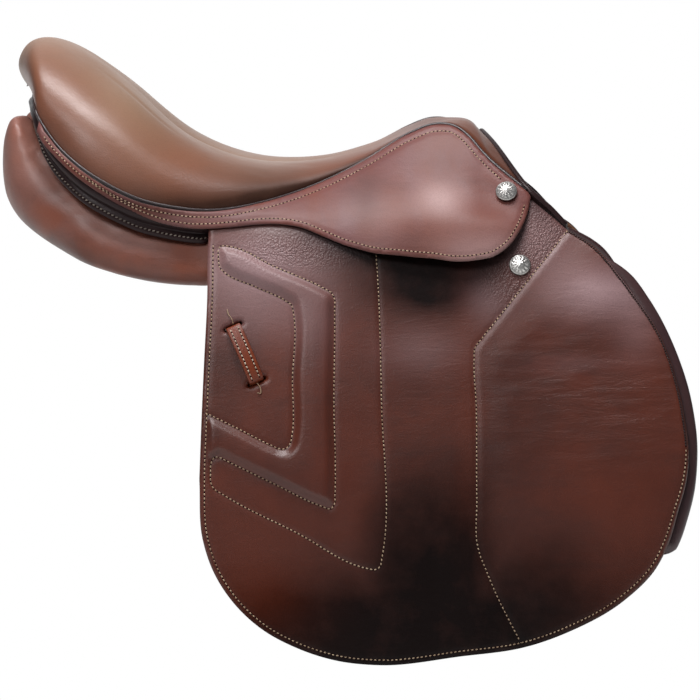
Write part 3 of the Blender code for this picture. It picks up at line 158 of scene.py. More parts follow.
# Panel sections from the rear to the front: x, half width inside, outside at the top and at the bottom,
# then the height of the top inside and outside, and of the bearing face inside and outside
PANEL_SECTIONS = SmoothTable([
    (-0.2630, 0.036, 0.086, 0.090, 0.106, 0.101, 0.068, 0.064),
    (-0.2500, 0.030, 0.098, 0.106, 0.122, 0.117, 0.034, 0.038),
    (-0.2300, 0.028, 0.112, 0.126, 0.112, 0.088, 0.012, 0.020),
    (-0.2000, 0.028, 0.130, 0.144, 0.098, 0.057, 0.000, -0.002),
    (-0.1600, 0.028, 0.146, 0.153, 0.074, 0.024, -0.004, -0.019),
    (-0.1100, 0.029, 0.148, 0.153, 0.050, 0.008, -0.002, -0.031),
    (-0.0500, 0.030, 0.142, 0.150, 0.036, 0.006, 0.003, -0.033),
    (0.0000, 0.031, 0.134, 0.150, 0.033, 0.014, 0.008, -0.037),
    (0.0500, 0.032, 0.124, 0.148, 0.038, 0.016, 0.014, -0.046),
    (0.1000, 0.034, 0.116, 0.146, 0.054, 0.022, 0.022, -0.062),
    (0.1500, 0.036, 0.108, 0.144, 0.068, 0.036, 0.030, -0.074),
    (0.1780, 0.038, 0.106, 0.140, 0.070, 0.040, 0.034, -0.070),
])


# Places on the saddle's side and on its seat

def ramp(value, low, high):
    """From 0 to 1, smoothly, while the value goes from low to high."""
    share = np.clip((value - low) / (high - low), 0.0, 1.0)
    return share * share * (3 - 2 * share)


def hill(value, middle, width):
    """1 where the value is at the middle, and less and less away from it."""
    return np.exp(-((value - middle) / width) ** 2)


def by_table(value, table):
    """A value read from pairs of a place and its value."""
    return np.interp(value, *zip(*table))


def blunt(value, power):
    """A cosine or sine with flatter ends, which makes a round section squarer."""
    return np.sign(value) * np.abs(value) ** power


def noise_at(x, y, z, octaves=0):
    """Smooth noise at each place, or rougher noise that is summed over some octaves."""
    if octaves:
        return np.array([noise.fractal(place, 1.0, 2.0, octaves) for place in np.broadcast(x, y, z)])
    return np.array([noise.noise(place) for place in np.broadcast(x, y, z)])


def unit(vectors):
    """Vectors with a length of one."""
    return vectors / np.linalg.norm(vectors, axis=-1, keepdims=True)


def lengths_along(path):
    """The length from a path's start to each of its points."""
    return np.concatenate([[0.0], np.cumsum(np.linalg.norm(np.diff(path, axis=0), axis=1))])


def fold_z(x):
    """Height of the line that the flap folds along."""
    return FOLD_REAR_Z + FOLD_SLOPE * (x - FOLD_REAR_X)


def side_half_width(x, z):
    """Half width of the flap's outer face at places seen from the side."""
    below = fold_z(x) - z
    lower = FOLD_HALF_WIDTH + FLARE * below - FLARE_EASING * below ** 2
    edge = EDGE_BY_X.at(x)
    rise = edge[..., 1] - fold_z(x)
    share = -below / rise
    pull = FOLD_HALF_WIDTH - edge[..., 0] - FLARE * rise
    upper = FOLD_HALF_WIDTH - FLARE * rise * share - pull * share ** 2
    return np.where(below >= 0, lower, upper)


def side_normal(x, z):
    """Direction outwards from the right side's face."""
    step = 0.001
    by_x = (side_half_width(x + step, z) - side_half_width(x - step, z)) / (2 * step)
    by_z = (side_half_width(x, z + step) - side_half_width(x, z - step)) / (2 * step)
    return unit(np.stack([-by_x, -np.ones_like(by_x), -by_z], axis=-1))


def on_side(x, z, out=0.0, sign=-1):
    """Places on one side, this far outside the flap's outer face."""
    x, z = np.asarray(x, dtype=float), np.asarray(z, dtype=float)
    flat = np.stack([x, -side_half_width(x, z), z], axis=-1)
    place = flat + np.asarray(out, dtype=float)[..., None] * side_normal(x, z)
    place[..., 1] *= -sign
    return place


def skirt_bulge(x, z):
    """How far the skirt stands off for the stirrup bar beneath it."""
    along = (x - BULGE_CENTRE[0]) / BULGE_LENGTH
    across = (z - BULGE_CENTRE[1]) / BULGE_DEPTH
    return BULGE_HEIGHT * np.exp(-0.5 * (along ** 4 + across ** 2))


def smooth_path(points, pitch=0.002):
    """A smooth curve through the points, at an even pitch, both ends kept."""
    points = np.array(points, dtype=float)
    lengths = lengths_along(points)
    places = np.linspace(0.0, lengths[-1], max(2, round(lengths[-1] / pitch)) + 1)
    if len(points) == 2:
        return points[0] + (points[1] - points[0]) * (places / lengths[-1])[:, None]
    return SmoothTable(np.column_stack([lengths, points])).at(places)


def closed_loop(*runs, pitch=0.002):
    """An outline from runs that meet at corners, without its first point again at the end."""
    return np.concatenate([smooth_path(run, pitch)[:-1] for run in runs])


def closed(ring):
    """A ring with its first point once more at the end."""
    return np.vstack([ring, ring[:1]])


def distance_to(points, path):
    """Distance of each point from a polyline in the plane."""
    best = np.full(len(points), 1e9)
    for a, b in zip(path[:-1], path[1:]):
        run = b - a
        share = np.clip(((points - a) @ run) / max(run @ run, 1e-12), 0.0, 1.0)
        best = np.minimum(best, np.linalg.norm(points - (a + share[:, None] * run), axis=1))
    return best


def inside_of(points, loop):
    """Which points lie inside a closed outline."""
    inside = np.zeros(len(points), dtype=bool)
    for (ax, az), (bx, bz) in zip(loop, np.roll(loop, -1, axis=0)):
        crosses = (az > points[:, 1]) != (bz > points[:, 1])
        if abs(bz - az) > 1e-12:
            inside ^= crosses & (points[:, 0] < (bx - ax) * (points[:, 1] - az) / (bz - az) + ax)
    return inside


def seat_points(shares, steps):
    """Places on the seat: shares of its length, and steps from -1 at the right edge to 1 at the left.

    Each half of a section is a curve from the centreline to the edge with two controls between them."""
    rows = []
    t = np.linspace(0, 1, SEAT_CURVE_POINTS)[:, None]
    for cx, cz, ex, ey, ez, rim, fullness in SEAT_SECTIONS.at(shares):
        rise, reach = max(cz - ez, SEAT_LEAST_RISE), ex - cx
        controls = np.array([
            (cx, 0.0, cz), (cx + 0.35 * reach, 0.55 * ey, cz + 2.0 * rim),
            (ex - 0.20 * reach, (0.84 + 0.29 * fullness) * ey, ez + fullness * rise + rim), (ex, ey, ez)])
        trail = ((1 - t) ** 3 * controls[0] + 3 * (1 - t) ** 2 * t * controls[1]
                 + 3 * (1 - t) * t * t * controls[2] + t ** 3 * controls[3])
        lengths = lengths_along(trail)
        along = np.abs(steps) * lengths[-1]
        row = np.column_stack([np.interp(along, lengths, trail[:, k]) for k in range(3)])
        row[:, 1] *= np.where(np.asarray(steps) >= 0, 1.0, -1.0)
        rows.append(row)
    return np.array(rows)


# Materials

GRAIN_SCALE = 900.0
GLOSS_SPREAD = 0.14
DARK_SHINE = 0.12
CREASE_DEPTH = 0.00045
PEBBLE_SCALE = 620.0
PEBBLE_DEPTH = 0.0011


def linear(red, green, blue):
    """A screen colour from 0 to 255, as the linear values that a shader takes."""
    parts = [c / 255 for c in (red, green, blue)]
    return [c / 12.92 if c <= 0.04045 else ((c + 0.055) / 1.055) ** 2.4 for c in parts]


class Shader:
    """Small helper that adds nodes to a material and joins them."""

    def __init__(self, name, owner=None):
        self.material = owner or bpy.data.materials.new(name)
        self.material.use_nodes = True
        self.tree = self.material.node_tree
        self.out = self.tree.nodes.get("Principled BSDF")

    def put(self, kind, inputs=(), **settings):
        made = self.tree.nodes.new("ShaderNode" + kind)
        for key, value in settings.items():
            setattr(made, key, value)
        self.feed(made, dict(inputs))
        return made

    def feed(self, target, inputs):
        for key, value in inputs.items():
            socket = target.inputs[key]
            if isinstance(value, bpy.types.NodeSocket):
                self.tree.links.new(value, socket)
            elif isinstance(value, (list, tuple)) and socket.type == "RGBA":
                socket.default_value = (*value[:3], 1.0)
            else:
                socket.default_value = value

    def math(self, operation, a, b=0.0, c=0.0, clamp=False):
        return self.put("Math", {0: a, 1: b, 2: c}, operation=operation, use_clamp=clamp).outputs[0]

    def mix(self, share, a, b):
        return self.put("Mix", {0: share, 6: a, 7: b}, data_type="RGBA").outputs[2]

    def spread(self, value, low, high, to_low=0.0, to_high=1.0):
        return self.put("MapRange", {0: value, 1: low, 2: high, 3: to_low, 4: to_high}).outputs[0]

    def field(self, name):
        return self.put("Attribute", attribute_name=name).outputs["Fac"]

    def noise(self, coords, scale, detail=3.0, rough=0.55, distortion=0.0):
        return self.put("TexNoise", {"Vector": coords, "Scale": scale, "Detail": detail, "Roughness": rough,
                                     "Distortion": distortion}).outputs[0]

    def cells(self, coords, scale):
        return self.put("TexVoronoi", {"Vector": coords, "Scale": scale}).outputs[0]

    def stretched(self, coords, scale):
        return self.put("Mapping", {"Vector": coords, "Scale": scale}).outputs[0]

    def bump(self, height, distance, strength=1.0, normal=None):
        inputs = {"Height": height, "Distance": distance, "Strength": strength}
        if normal is not None:
            inputs["Normal"] = normal
        return self.put("Bump", inputs).outputs[0]

    def finished(self, colour, rough, **others):
        """Feeds the surface and gives the material."""
        named = {key.replace("_", " ").title(): value for key, value in others.items()}
        self.feed(self.out, {"Base Color": colour, "Roughness": rough, **named})
        return self.material


def object_shader(name):
    """A new shader, and the coordinates of the object that it is on."""
    made = Shader(name)
    return made, made.put("TexCoord").outputs["Object"]


def leather(name, base, dark, warm, rough=0.40, grain=0.00010, coat=0.12, rest=True, wear=0.35,
            wrinkle=0.0, painted_sheen=(176, 138, 128), coat_rough=0.36, shine=0.5):
    """Leather with grain, pores and patches of wear.

    With rest, its pieces carry their unbent places and the fields that make it darker, warmer or lighter: the darker
    one is grime and in places painted shade, the lighter one is painted sheen and highlight."""
    made, coords = object_shader(name)
    if rest:
        coords = made.put("Attribute", attribute_name="rest").outputs["Vector"]
    patches = made.noise(coords, 14.0, 4.0, 0.6, 0.4)
    streaks = made.noise(made.stretched(coords, (0.35, 1.0, 1.0)), 46.0, 5.0, 0.65, 0.6)
    colour = made.mix(made.spread(patches, 0.38, 0.66), base, warm)
    shade = made.mix(1.0, base, dark)
    colour = made.mix(made.spread(streaks, 0.50, 0.80, 0.0, wear), colour, shade)
    darker = 0.0
    if rest:
        broken = made.math("MULTIPLY_ADD", made.noise(coords, 30.0, 4.0, 0.6), 0.5, 0.75)
        darker = made.math("MULTIPLY", made.field("dark"), broken, clamp=True)
        colour = made.mix(darker, colour, dark)
        colour = made.mix(made.field("warm"), colour, warm)
        # Painted sheen and highlights, laid into the colour by the lighter field
        colour = made.mix(made.field("painted_sheen"), colour, linear(*painted_sheen))
    fine = made.cells(coords, GRAIN_SCALE)
    pores = made.noise(coords, GRAIN_SCALE * 0.8, 2.0)
    colour = made.mix(made.spread(fine, 0.0, 0.5, 0.22, 0.0), colour, shade)
    gloss = made.spread(made.math("ADD", patches, made.math("MULTIPLY", streaks, 0.5)), 0.5, 1.0,
                        rough - GLOSS_SPREAD / 2, rough + GLOSS_SPREAD / 2)
    normal = made.bump(made.math("ADD", fine, made.math("MULTIPLY", pores, 0.7)), grain)
    creases = made.noise(made.stretched(coords, (0.9, 1.0, 2.6)), 55.0, 6.0, 0.62, 1.4)
    normal = made.bump(creases, CREASE_DEPTH, 0.5, normal)
    if rest:
        pebbles = made.math("MULTIPLY", made.cells(coords, PEBBLE_SCALE), made.field("pebble"))
        normal = made.bump(pebbles, PEBBLE_DEPTH, 1.0, normal)
    if wrinkle:
        folds = made.noise(made.stretched(coords, (0.20, 1.0, 1.0)), 115.0, 6.0, 0.66, 1.1)
        normal = made.bump(made.math("MULTIPLY", folds, made.field("wrinkle")), wrinkle, 1.0, normal)
    # The darker field also takes the shine and the coat away, so that its painted shade and shadows look unlit
    made.feed(made.out, {"Specular IOR Level": made.spread(darker, 0.3, 1.0, shine, min(shine, DARK_SHINE))})
    return made.finished(colour, gloss, normal=normal, coat_roughness=coat_rough,
                         coat_weight=made.spread(darker, 0.2, 0.9, coat, 0.0))


def edge_leather(name, base):
    """Burnished cut edge of leather."""
    made, coords = object_shader(name)
    grain = made.noise(coords, 420.0, 4.0)
    colour = made.mix(made.spread(grain, 0.3, 0.7), base, [c * 1.7 for c in base])
    return made.finished(colour, 0.38, normal=made.bump(grain, 0.00015))


def thread(name, base, dark):
    """Waxed linen thread with its twist and some dirt."""
    made, coords = object_shader(name)
    colour = made.mix(made.spread(made.noise(coords, 60.0, 3.0), 0.35, 0.75), base, dark)
    return made.finished(colour, 0.55, normal=made.bump(made.noise(coords, 2600.0, 1.0), 0.0001))


def metal(name, base, dark, rough, scale=320.0):
    """Metal with brushing, tarnish and small scratches."""
    made, coords = object_shader(name)
    tarnish = made.noise(coords, scale, 5.0, 0.6)
    brushed = made.noise(made.stretched(coords, (0.15, 1.0, 1.0)), 1400.0, 3.0)
    colour = made.mix(made.spread(tarnish, 0.42, 0.72), base, dark)
    return made.finished(colour, made.spread(tarnish, 0.3, 0.75, rough, rough + 0.22), metallic=1.0,
                         normal=made.bump(brushed, 0.00004))


def woven(name, base, dark):
    """Plain woven webbing."""
    made, coords = object_shader(name)
    warp, weft = (made.put("TexWave", {"Vector": coords, "Scale": 144.0, "Distortion": 0.4},
                           bands_direction=way).outputs[1] for way in "XZ")
    weave = made.math("MULTIPLY", warp, weft)
    dirt = made.spread(made.noise(coords, 40.0, 4.0), 0.5, 0.8, 0.0, 0.5)
    colour = made.mix(dirt, made.mix(weave, dark, base), dark)
    return made.finished(colour, 0.88, normal=made.bump(weave, 0.0004))


def laminated(name, base, dark):
    """Bent beech laminations with glue lines and long grain."""
    made, coords = object_shader(name)
    grain = made.noise(made.stretched(coords, (0.08, 1.0, 1.0)), 320.0, 6.0, 0.65)
    flecks = made.noise(made.stretched(coords, (0.25, 1.0, 1.0)), 900.0, 2.0)
    colour = made.mix(made.spread(grain, 0.35, 0.7), base, dark)
    colour = made.mix(made.spread(flecks, 0.62, 0.8, 0.0, 0.6), colour, dark)
    return made.finished(colour, 0.55, normal=made.bump(grain, 0.0002))


def latex(name, base, dark):
    """Foam with open pores."""
    made, coords = object_shader(name)
    pores = made.cells(coords, 1100.0)
    colour = made.mix(made.spread(pores, 0.0, 0.35, 1.0, 0.0), base, dark)
    return made.finished(colour, 0.9, normal=made.bump(pores, 0.0004))


def painted_hole_shade(name, base):
    """Flat dark for the discs that stand for the shaded inside of a stitch hole: painted shade."""
    made = Shader(name)
    made.feed(made.out, {"Specular IOR Level": 0.1})
    return made.finished(base, 0.9)


def nail_metal(name, base, dark):
    """Silver that is polished on its high places and dark in its hollows."""
    made, coords = object_shader(name)
    stain = made.spread(made.noise(coords, 900.0, 4.0, 0.6), 0.3, 0.7, -0.25, 0.25)
    share = made.math("ADD", made.field("dark"), stain, clamp=True)
    return made.finished(made.mix(share, base, dark), made.spread(share, 0.0, 1.0, 0.26, 0.55), metallic=0.75)


# Each look: the function that makes it, its colours from 0 to 255, and its other settings
LOOK_TABLE = {
    # The last colour in the settings of the seat, skirt and flap leathers is that of their painted sheen and
    # highlights
    "seat_leather": (leather, [(124, 76, 58), (50, 27, 22), (126, 68, 40)],
                     dict(rough=0.42, coat=0.26, coat_rough=0.38, grain=0.00005, wear=0.22,
                          painted_sheen=(158, 128, 104))),
    "skirt_leather": (leather, [(120, 76, 74), (62, 38, 37), (124, 68, 54)],
                      dict(rough=0.46, coat=0.10, coat_rough=0.26, grain=0.00006, shine=0.22, wear=0.30,
                           wrinkle=0.0009, painted_sheen=(186, 152, 148))),
    "flap_leather": (leather, [(88, 40, 27), (22, 13, 12), (102, 40, 17)],
                     dict(rough=0.42, coat=0.24, grain=0.00008, wrinkle=0.0014, painted_sheen=(180, 148, 150))),
    "panel_leather": (leather, [(144, 90, 76), (52, 25, 20), (148, 80, 56)],
                      dict(rough=0.46, grain=0.00008, coat=0.20, coat_rough=0.46, wrinkle=0.0008)),
    "strap_leather": (leather, [(116, 66, 44), (60, 32, 24), (132, 74, 46)], dict(rough=0.45, rest=False)),
    "dark_leather": (leather, [(62, 48, 48), (34, 26, 27), (72, 54, 50)], dict(rest=False, grain=0.00006)),
    "keeper_leather": (leather, [(116, 50, 26), (62, 24, 16), (136, 62, 34)],
                       dict(rough=0.38, rest=False, coat=0.16, shine=0.35)),
    "lining_leather": (leather, [(104, 66, 52), (62, 38, 32), (116, 74, 56)], dict(rough=0.5, rest=False)),
    "black_leather": (leather, [(36, 28, 30), (20, 16, 18), (44, 34, 34)],
                      dict(rough=0.36, rest=False, grain=0.00004)),
    "facing_leather": (leather, [(44, 29, 30), (28, 18, 19), (50, 33, 33)],
                       dict(rough=0.34, rest=False, grain=0.00005, coat=0.08, shine=0.18)),
    "roll_leather": (leather, [(70, 44, 46), (46, 29, 31), (78, 50, 50)],
                     dict(rough=0.36, rest=False, grain=0.00005, coat=0.4)),
    "piping_leather": (leather, [(46, 32, 34), (28, 20, 22), (50, 36, 36)],
                       dict(rough=0.34, rest=False, grain=0.00003, coat=0.25)),
    "flesh_side": (leather, [(134, 92, 66), (88, 56, 40), (146, 104, 76)],
                   dict(rough=0.72, rest=False, coat=0.0)),
    "leather_edge": (edge_leather, [(64, 42, 38)], {}),
    "stitch_hole": (painted_hole_shade, [(38, 22, 20)], {}),
    "brown_thread": (thread, [(60, 36, 34), (40, 24, 23)], {}),
    "cream_thread": (thread, [(206, 182, 150), (150, 120, 92)], {}),
    "grey_thread": (thread, [(170, 158, 144), (112, 100, 92)], {}),
    "white_thread": (thread, [(232, 222, 202), (184, 168, 144)], {}),
    "nail_silver": (nail_metal, [(226, 224, 220), (66, 62, 58)], {}),
    "spring_steel": (metal, [(140, 142, 146), (70, 70, 74)], dict(rough=0.34)),
    "stainless_steel": (metal, [(206, 206, 204), (150, 150, 150)], dict(rough=0.22)),
    "antique_silver": (metal, [(214, 210, 200), (78, 74, 68)], dict(rough=0.24, scale=700.0)),
    "tree_wood": (laminated, [(186, 146, 98), (140, 98, 60)], {}),
    "webbing": (woven, [(206, 196, 170), (150, 138, 112)], {}),
    "seat_foam": (latex, [(222, 210, 160), (172, 158, 112)], {}),
}


LOOKS = {name: make(name + "_look", *[linear(*colour) for colour in colours], **settings)
         for name, (make, colours, settings) in LOOK_TABLE.items()}


# Mesh building

# The fields of every leather that has them: how dark (grime, and in places painted shade), how warm, how much
# painted sheen and highlight, how pebbled and how wrinkled it is
FIELDS = ("dark", "warm", "painted_sheen", "pebble", "wrinkle")


def new_piece(name, points, faces, materials, body=None, slot=None, replaced=(), indices=None, rest=None,
              fields=None):
    """A piece of the scene from its points and faces, with its rest coordinates and its fields."""
    mesh = bpy.data.meshes.new(name)
    mesh.from_pydata([tuple(float(c) for c in p) for p in points], [], faces)
    if indices is not None:
        mesh.polygons.foreach_set("material_index", np.asarray(indices, dtype=np.int32))
    for look in materials:
        mesh.materials.append(LOOKS[look])
    values = dict(fields or {})
    if rest is not None:
        spot = mesh.attributes.new("rest", "FLOAT_VECTOR", "POINT")
        spot.data.foreach_set("vector", np.asarray(rest, dtype=np.float32).ravel())
        values = {**{key: np.zeros(len(points)) for key in FIELDS}, **values}
    for key, share in values.items():
        layer = mesh.attributes.new(key, "FLOAT", "POINT")
        layer.data.foreach_set("value", np.clip(share, 0.0, 1.0).astype(np.float32))
    mesh.shade_smooth()
    made = bpy.data.objects.new(name, mesh)
    bpy.context.scene.collection.objects.link(made)
    if body:
        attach(made, body)
    if replaced:
        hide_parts(*replaced)
    return made


def turned_outwards(mesh, grow=0.0):
    """Turns a closed mesh's faces outwards, and moves its points outwards by this much."""
    work = bmesh.new()
    work.from_mesh(mesh)
    bmesh.ops.recalc_face_normals(work, faces=work.faces)
    for vert in work.verts:
        vert.co += vert.normal * grow
    work.to_mesh(mesh)
    work.free()


def skin_faces(rings, sides):
    """Faces of a closed skin over rings of points, a row of faces between each ring and the next."""
    faces = []
    for start in range(0, (rings - 1) * sides, sides):
        for a, b in zip(range(sides), [*range(1, sides), 0]):
            faces.append((start + a, start + b, start + sides + b, start + sides + a))
    return faces + [tuple(reversed(range(sides))), tuple((rings - 1) * sides + k for k in range(sides))]


def triangulated(loop, spacing, holes=(), creases=()):
    """Triangles over an outline seen from the side, with its holes left out."""
    points, edges = [], []
    for ring in [loop, *holes]:
        start = len(points)
        points += [tuple(p) for p in ring]
        edges += [(start + k, start + (k + 1) % len(ring)) for k in range(len(ring))]
    for crease in creases:
        start = len(points)
        points += [tuple(p) for p in crease]
        edges += [(start + k, start + k + 1) for k in range(len(crease) - 1)]
    low, high = loop.min(axis=0), loop.max(axis=0)
    columns = np.arange(low[0], high[0], spacing)
    rows = np.arange(low[1], high[1], spacing * 0.866)
    grid = np.array([(x + (spacing / 2 if k % 2 else 0.0), z) for k, z in enumerate(rows) for x in columns])
    keep = inside_of(grid, loop)
    for ring in [loop, *holes]:
        keep &= distance_to(grid, closed(ring)) > spacing * 0.5
    for crease in creases:
        keep &= distance_to(grid, crease) > spacing * 0.4
    for hole in holes:
        keep &= ~inside_of(grid, hole)
    points += [tuple(p) for p in grid[keep]]
    found = geometry.delaunay_2d_cdt([Vector(p) for p in points], edges, [], 0, 1e-7)
    corners = np.array([tuple(p) for p in found[0]])
    middles = np.array([corners[list(face)].mean(axis=0) for face in found[2]])
    inside = inside_of(middles, loop)
    for hole in holes:
        inside &= ~inside_of(middles, hole)
    faces = [tuple(face) for face, ok in zip(found[2], inside) if ok]
    used = sorted({i for face in faces for i in face})
    renumber = {old: new for new, old in enumerate(used)}
    return corners[used], [tuple(renumber[i] for i in face) for face in faces]


def slab_faces(faces, count):
    """A sheet's front, its back, whose points follow the front's, and the rim between them."""
    seen = {}
    for face in faces:
        for a, b in zip(face, face[1:] + face[:1]):
            key = (min(a, b), max(a, b))
            seen[key] = None if key in seen else (a, b)
    rim = [(a, b, b + count, a + count) for a, b in filter(None, seen.values())]
    return [face[::-1] for face in faces], [tuple(i + count for i in face) for face in faces], rim


def leather_sheet(name, loop, spacing, inner, outer, sign, look, fields, holes=(), creases=(), **about):
    """Leather cut to an outline seen from the side: outer face, rounded edge and inner face.

    inner and outer are functions of x and z that give distances from the flap's outer face."""
    flat, faces = triangulated(loop, spacing, holes, creases)
    x, z = flat[:, 0], flat[:, 1]
    away = np.min([distance_to(flat, closed(ring)) for ring in [loop, *holes]], axis=0)
    top, low = outer(x, z), inner(x, z)
    soft = np.clip(1.0 - away / ROUND_OVER, 0.0, 1.0)
    drop = np.minimum(ROUND_OVER, ROUND_LIMIT * (top - low)) * (1.0 - np.sqrt(1.0 - soft ** 2))
    points = np.vstack([on_side(x, z, top - drop, sign), on_side(x, z, low + drop * INNER_ROUNDING, sign)])
    front, back, rim = slab_faces(faces, len(flat))
    indices = [0] * len(front) + [2] * len(back) + [1] * len(rim)
    shapes = front + back + rim
    if sign > 0:
        shapes = [shape[::-1] for shape in shapes]
    rest = np.vstack([np.column_stack([x, np.full(len(x), depth), z]) for depth in (0.0, FLESH_SIDE_SHIFT)])
    layers = {key: np.concatenate([field(x, z), np.zeros(len(x))]) for key, field in fields.items()}
    return new_piece(name, points, shapes, [look, "leather_edge", "flesh_side"], indices=indices, rest=rest,
                     fields=layers, **about)


def stitches(name, rows, look, pitch=STITCH_PITCH, length=STITCH_LENGTH, lean=STITCH_LEAN, **about):
    """Rows of stitches, with a flat dark disc between them at each hole: painted shade that stands for the hole.

    Each row gives its points and, for each of them, the surface's outward direction."""
    points, faces, indices = [], [], []
    body = skin_faces(len(STITCH_RINGS), STITCH_SIDES)
    for path, normals in rows:
        lengths = lengths_along(path)
        count = max(1, int(lengths[-1] / pitch))
        for k in range(count):
            s = (k + 0.5) * lengths[-1] / count
            ends = [np.array([np.interp(s + d, lengths, path[:, c]) for c in range(3)])
                    for d in (-length / 2, length / 2)]
            out = unit(np.array([np.interp(s, lengths, normals[:, c]) for c in range(3)]))
            straight = unit(ends[1] - ends[0])
            run = unit(straight + lean * np.cross(out, straight))
            across = np.cross(out, run)
            centre = (ends[0] + ends[1]) / 2
            faces += [tuple(i + len(points) for i in face) for face in body]
            for share, fat in STITCH_RINGS:
                middle = centre + run * length * share
                middle = middle + out * (STITCH_RISE - STITCH_END_SINK * (2 * abs(share)) ** 3)
                for a in range(STITCH_SIDES):
                    turn = 2 * math.pi * a / STITCH_SIDES
                    around = math.cos(turn) * across + STITCH_FLATNESS * math.sin(turn) * out
                    points.append(middle + STITCH_RADIUS * fat * around)
            # A flat dark disc at each hole: painted shade in place of the hole's shaded inside
            start = len(points)
            middle = centre + straight * lengths[-1] / count / 2
            across = np.cross(out, straight)
            for a in range(HOLE_SIDES):
                turn = 2 * math.pi * a / HOLE_SIDES
                points.append(middle + HOLE_RADIUS * (math.cos(turn) * straight + math.sin(turn) * across)
                              + out * HOLE_LIFT)
            faces.append(tuple(range(start, start + HOLE_SIDES)))
            indices += [0] * len(body) + [1]
    return new_piece(name, points, faces, [look, "stitch_hole"], indices=indices, **about)


def side_row(path, surface, sign, pitch=0.0015):
    """A stitch row along a path seen from the side, on a surface given by its distance outwards."""
    line = smooth_path(path, pitch) if len(path) > 2 else np.array(path, dtype=float)
    x, z = line[:, 0], line[:, 1]
    normals = side_normal(x, z)
    normals[:, 1] *= -sign
    return on_side(x, z, surface(x, z), sign), normals


def tube(name, path, radii, sides, look, flat=1.0, outward=None, **about):
    """A round cord along a path, with its radius at each point, optionally flattened along outward."""
    path = np.asarray(path, dtype=float)
    radii = np.broadcast_to(np.asarray(radii, dtype=float), (len(path),))
    points, side = [], None
    for i, place in enumerate(path):
        ahead = unit(path[min(i + 1, len(path) - 1)] - path[max(i - 1, 0)])
        if outward is not None:
            side = np.asarray(outward[i], dtype=float)
        elif side is None:
            side = np.cross(ahead, (0.0, 0.0, 1.0) if abs(ahead[2]) < 0.9 else (1.0, 0.0, 0.0))
        side = unit(side - ahead * (side @ ahead))
        other = np.cross(ahead, side)
        for k in range(sides):
            turn = 2 * math.pi * k / sides
            points.append(place + radii[i] * (flat * math.cos(turn) * side + math.sin(turn) * other))
    return new_piece(name, points, skin_faces(len(path), sides), [look], **about)


def spots(*areas):
    """A field that is high in soft areas, each given by its middle, its two radii and its strength."""
    def field(x, z):
        total = sum(strength * hill(x, cx, rx) * hill(z, cz, rz) for cx, cz, rx, rz, strength in areas)
        return np.clip(total, 0.0, 1.0)
    return field


def groove(flat, row):
    """How deep the leather is drawn in along a row of stitches."""
    return GROOVE_DEPTH * hill(distance_to(flat, row), 0.0, GROOVE_HALF_WIDTH)


# The flap: its outline, seams and chevron

FLAP_TOP_FRONT = [(0.2045, 0.0490), (0.2194, 0.0373), (0.2352, 0.0242), (0.2590, 0.0078), (0.2786, -0.0153),
                  (0.2902, -0.0310)]
FLAP_FRONT = [(0.2902, -0.0310), (0.3107, -0.0618), (0.3203, -0.0849), (0.3266, -0.1073), (0.3312, -0.1314),
              (0.3345, -0.1660), (0.3312, -0.1890), (0.3253, -0.2080), (0.3150, -0.2392), (0.3058, -0.2562)]
FLAP_BOTTOM = [(0.3058, -0.2562), (0.2766, -0.2845), (0.2306, -0.3094), (0.1952, -0.3217), (0.1380, -0.3298),
               (0.0700, -0.3368), (0.0357, -0.3333), (-0.0036, -0.3206), (-0.0274, -0.3078),
               (-0.0552, -0.2823), (-0.0713, -0.2569), (-0.0798, -0.2318), (-0.0830, -0.1820)]
FLAP_REAR = [(-0.0830, -0.1820), (-0.0818, -0.1407), (-0.0797, -0.0830), (-0.0777, -0.0330),
             (-0.0775, 0.0134), (-0.0770, 0.0280)]
FLAP_HEAD = [(-0.0770, 0.0280), (-0.0400, 0.0320), (0.0000, 0.0400), (0.0600, 0.0600), (0.1000, 0.0780),
             (0.1300, 0.0840), (0.1600, 0.0680), (0.1900, 0.0540), (0.2045, 0.0490)]
BAR_WINDOW = [(0.0860, 0.0050), (0.1760, 0.0050), (0.1760, 0.0350), (0.0860, 0.0350)]

KNEE_SEAM = [(0.2347, 0.0238), (0.2006, -0.0161), (0.1560, -0.0690)]
KNEE_SEAM_DOWN = [(0.1560, -0.0690), (0.1524, -0.0740), (0.1516, -0.0830), (0.1530, -0.1213),
                  (0.1530, -0.1997), (0.1537, -0.2390), (0.1560, -0.2470)]
KNEE_SEAM_FOOT = [(0.1560, -0.2470), (0.1705, -0.2809), (0.1905, -0.3195)]

BAND_OUTER = [(-0.0688, 0.0095), (-0.0664, 0.0118), (-0.0595, 0.0115), (-0.0200, -0.0055), (0.0240, -0.0247),
              (0.0290, -0.0276), (0.0316, -0.0325), (0.0318, -0.0420), (0.0313, -0.1165), (0.0322, -0.1950),
              (0.0318, -0.2025), (0.0285, -0.2065), (0.0228, -0.2048), (-0.0200, -0.1853), (-0.0665, -0.1631)]
BAND_TAIL = [(-0.0665, -0.1631), (-0.0706, -0.1635), (-0.0730, -0.1680), (-0.0735, -0.1760), (-0.0731, -0.1845),
             (-0.0709, -0.1890), (-0.0640, -0.1935), (0.0000, -0.2262), (0.0600, -0.2560), (0.0665, -0.2570),
             (0.0706, -0.2545), (0.0719, -0.2485), (0.0719, -0.1167), (0.0680, -0.0021), (0.0672, 0.0080)]
BAND_INNER = [(-0.0688, 0.0095), (-0.0683, 0.0010), (-0.0669, -0.0061), (-0.0640, -0.0092), (-0.0350, -0.0228),
              (-0.0090, -0.0349), (-0.0050, -0.0378), (-0.0038, -0.0430), (-0.0041, -0.0998), (-0.0046, -0.1470),
              (-0.0058, -0.1525), (-0.0100, -0.1566), (-0.0150, -0.1566), (-0.0210, -0.1542), (-0.0500, -0.1400),
              (-0.0790, -0.1262)]
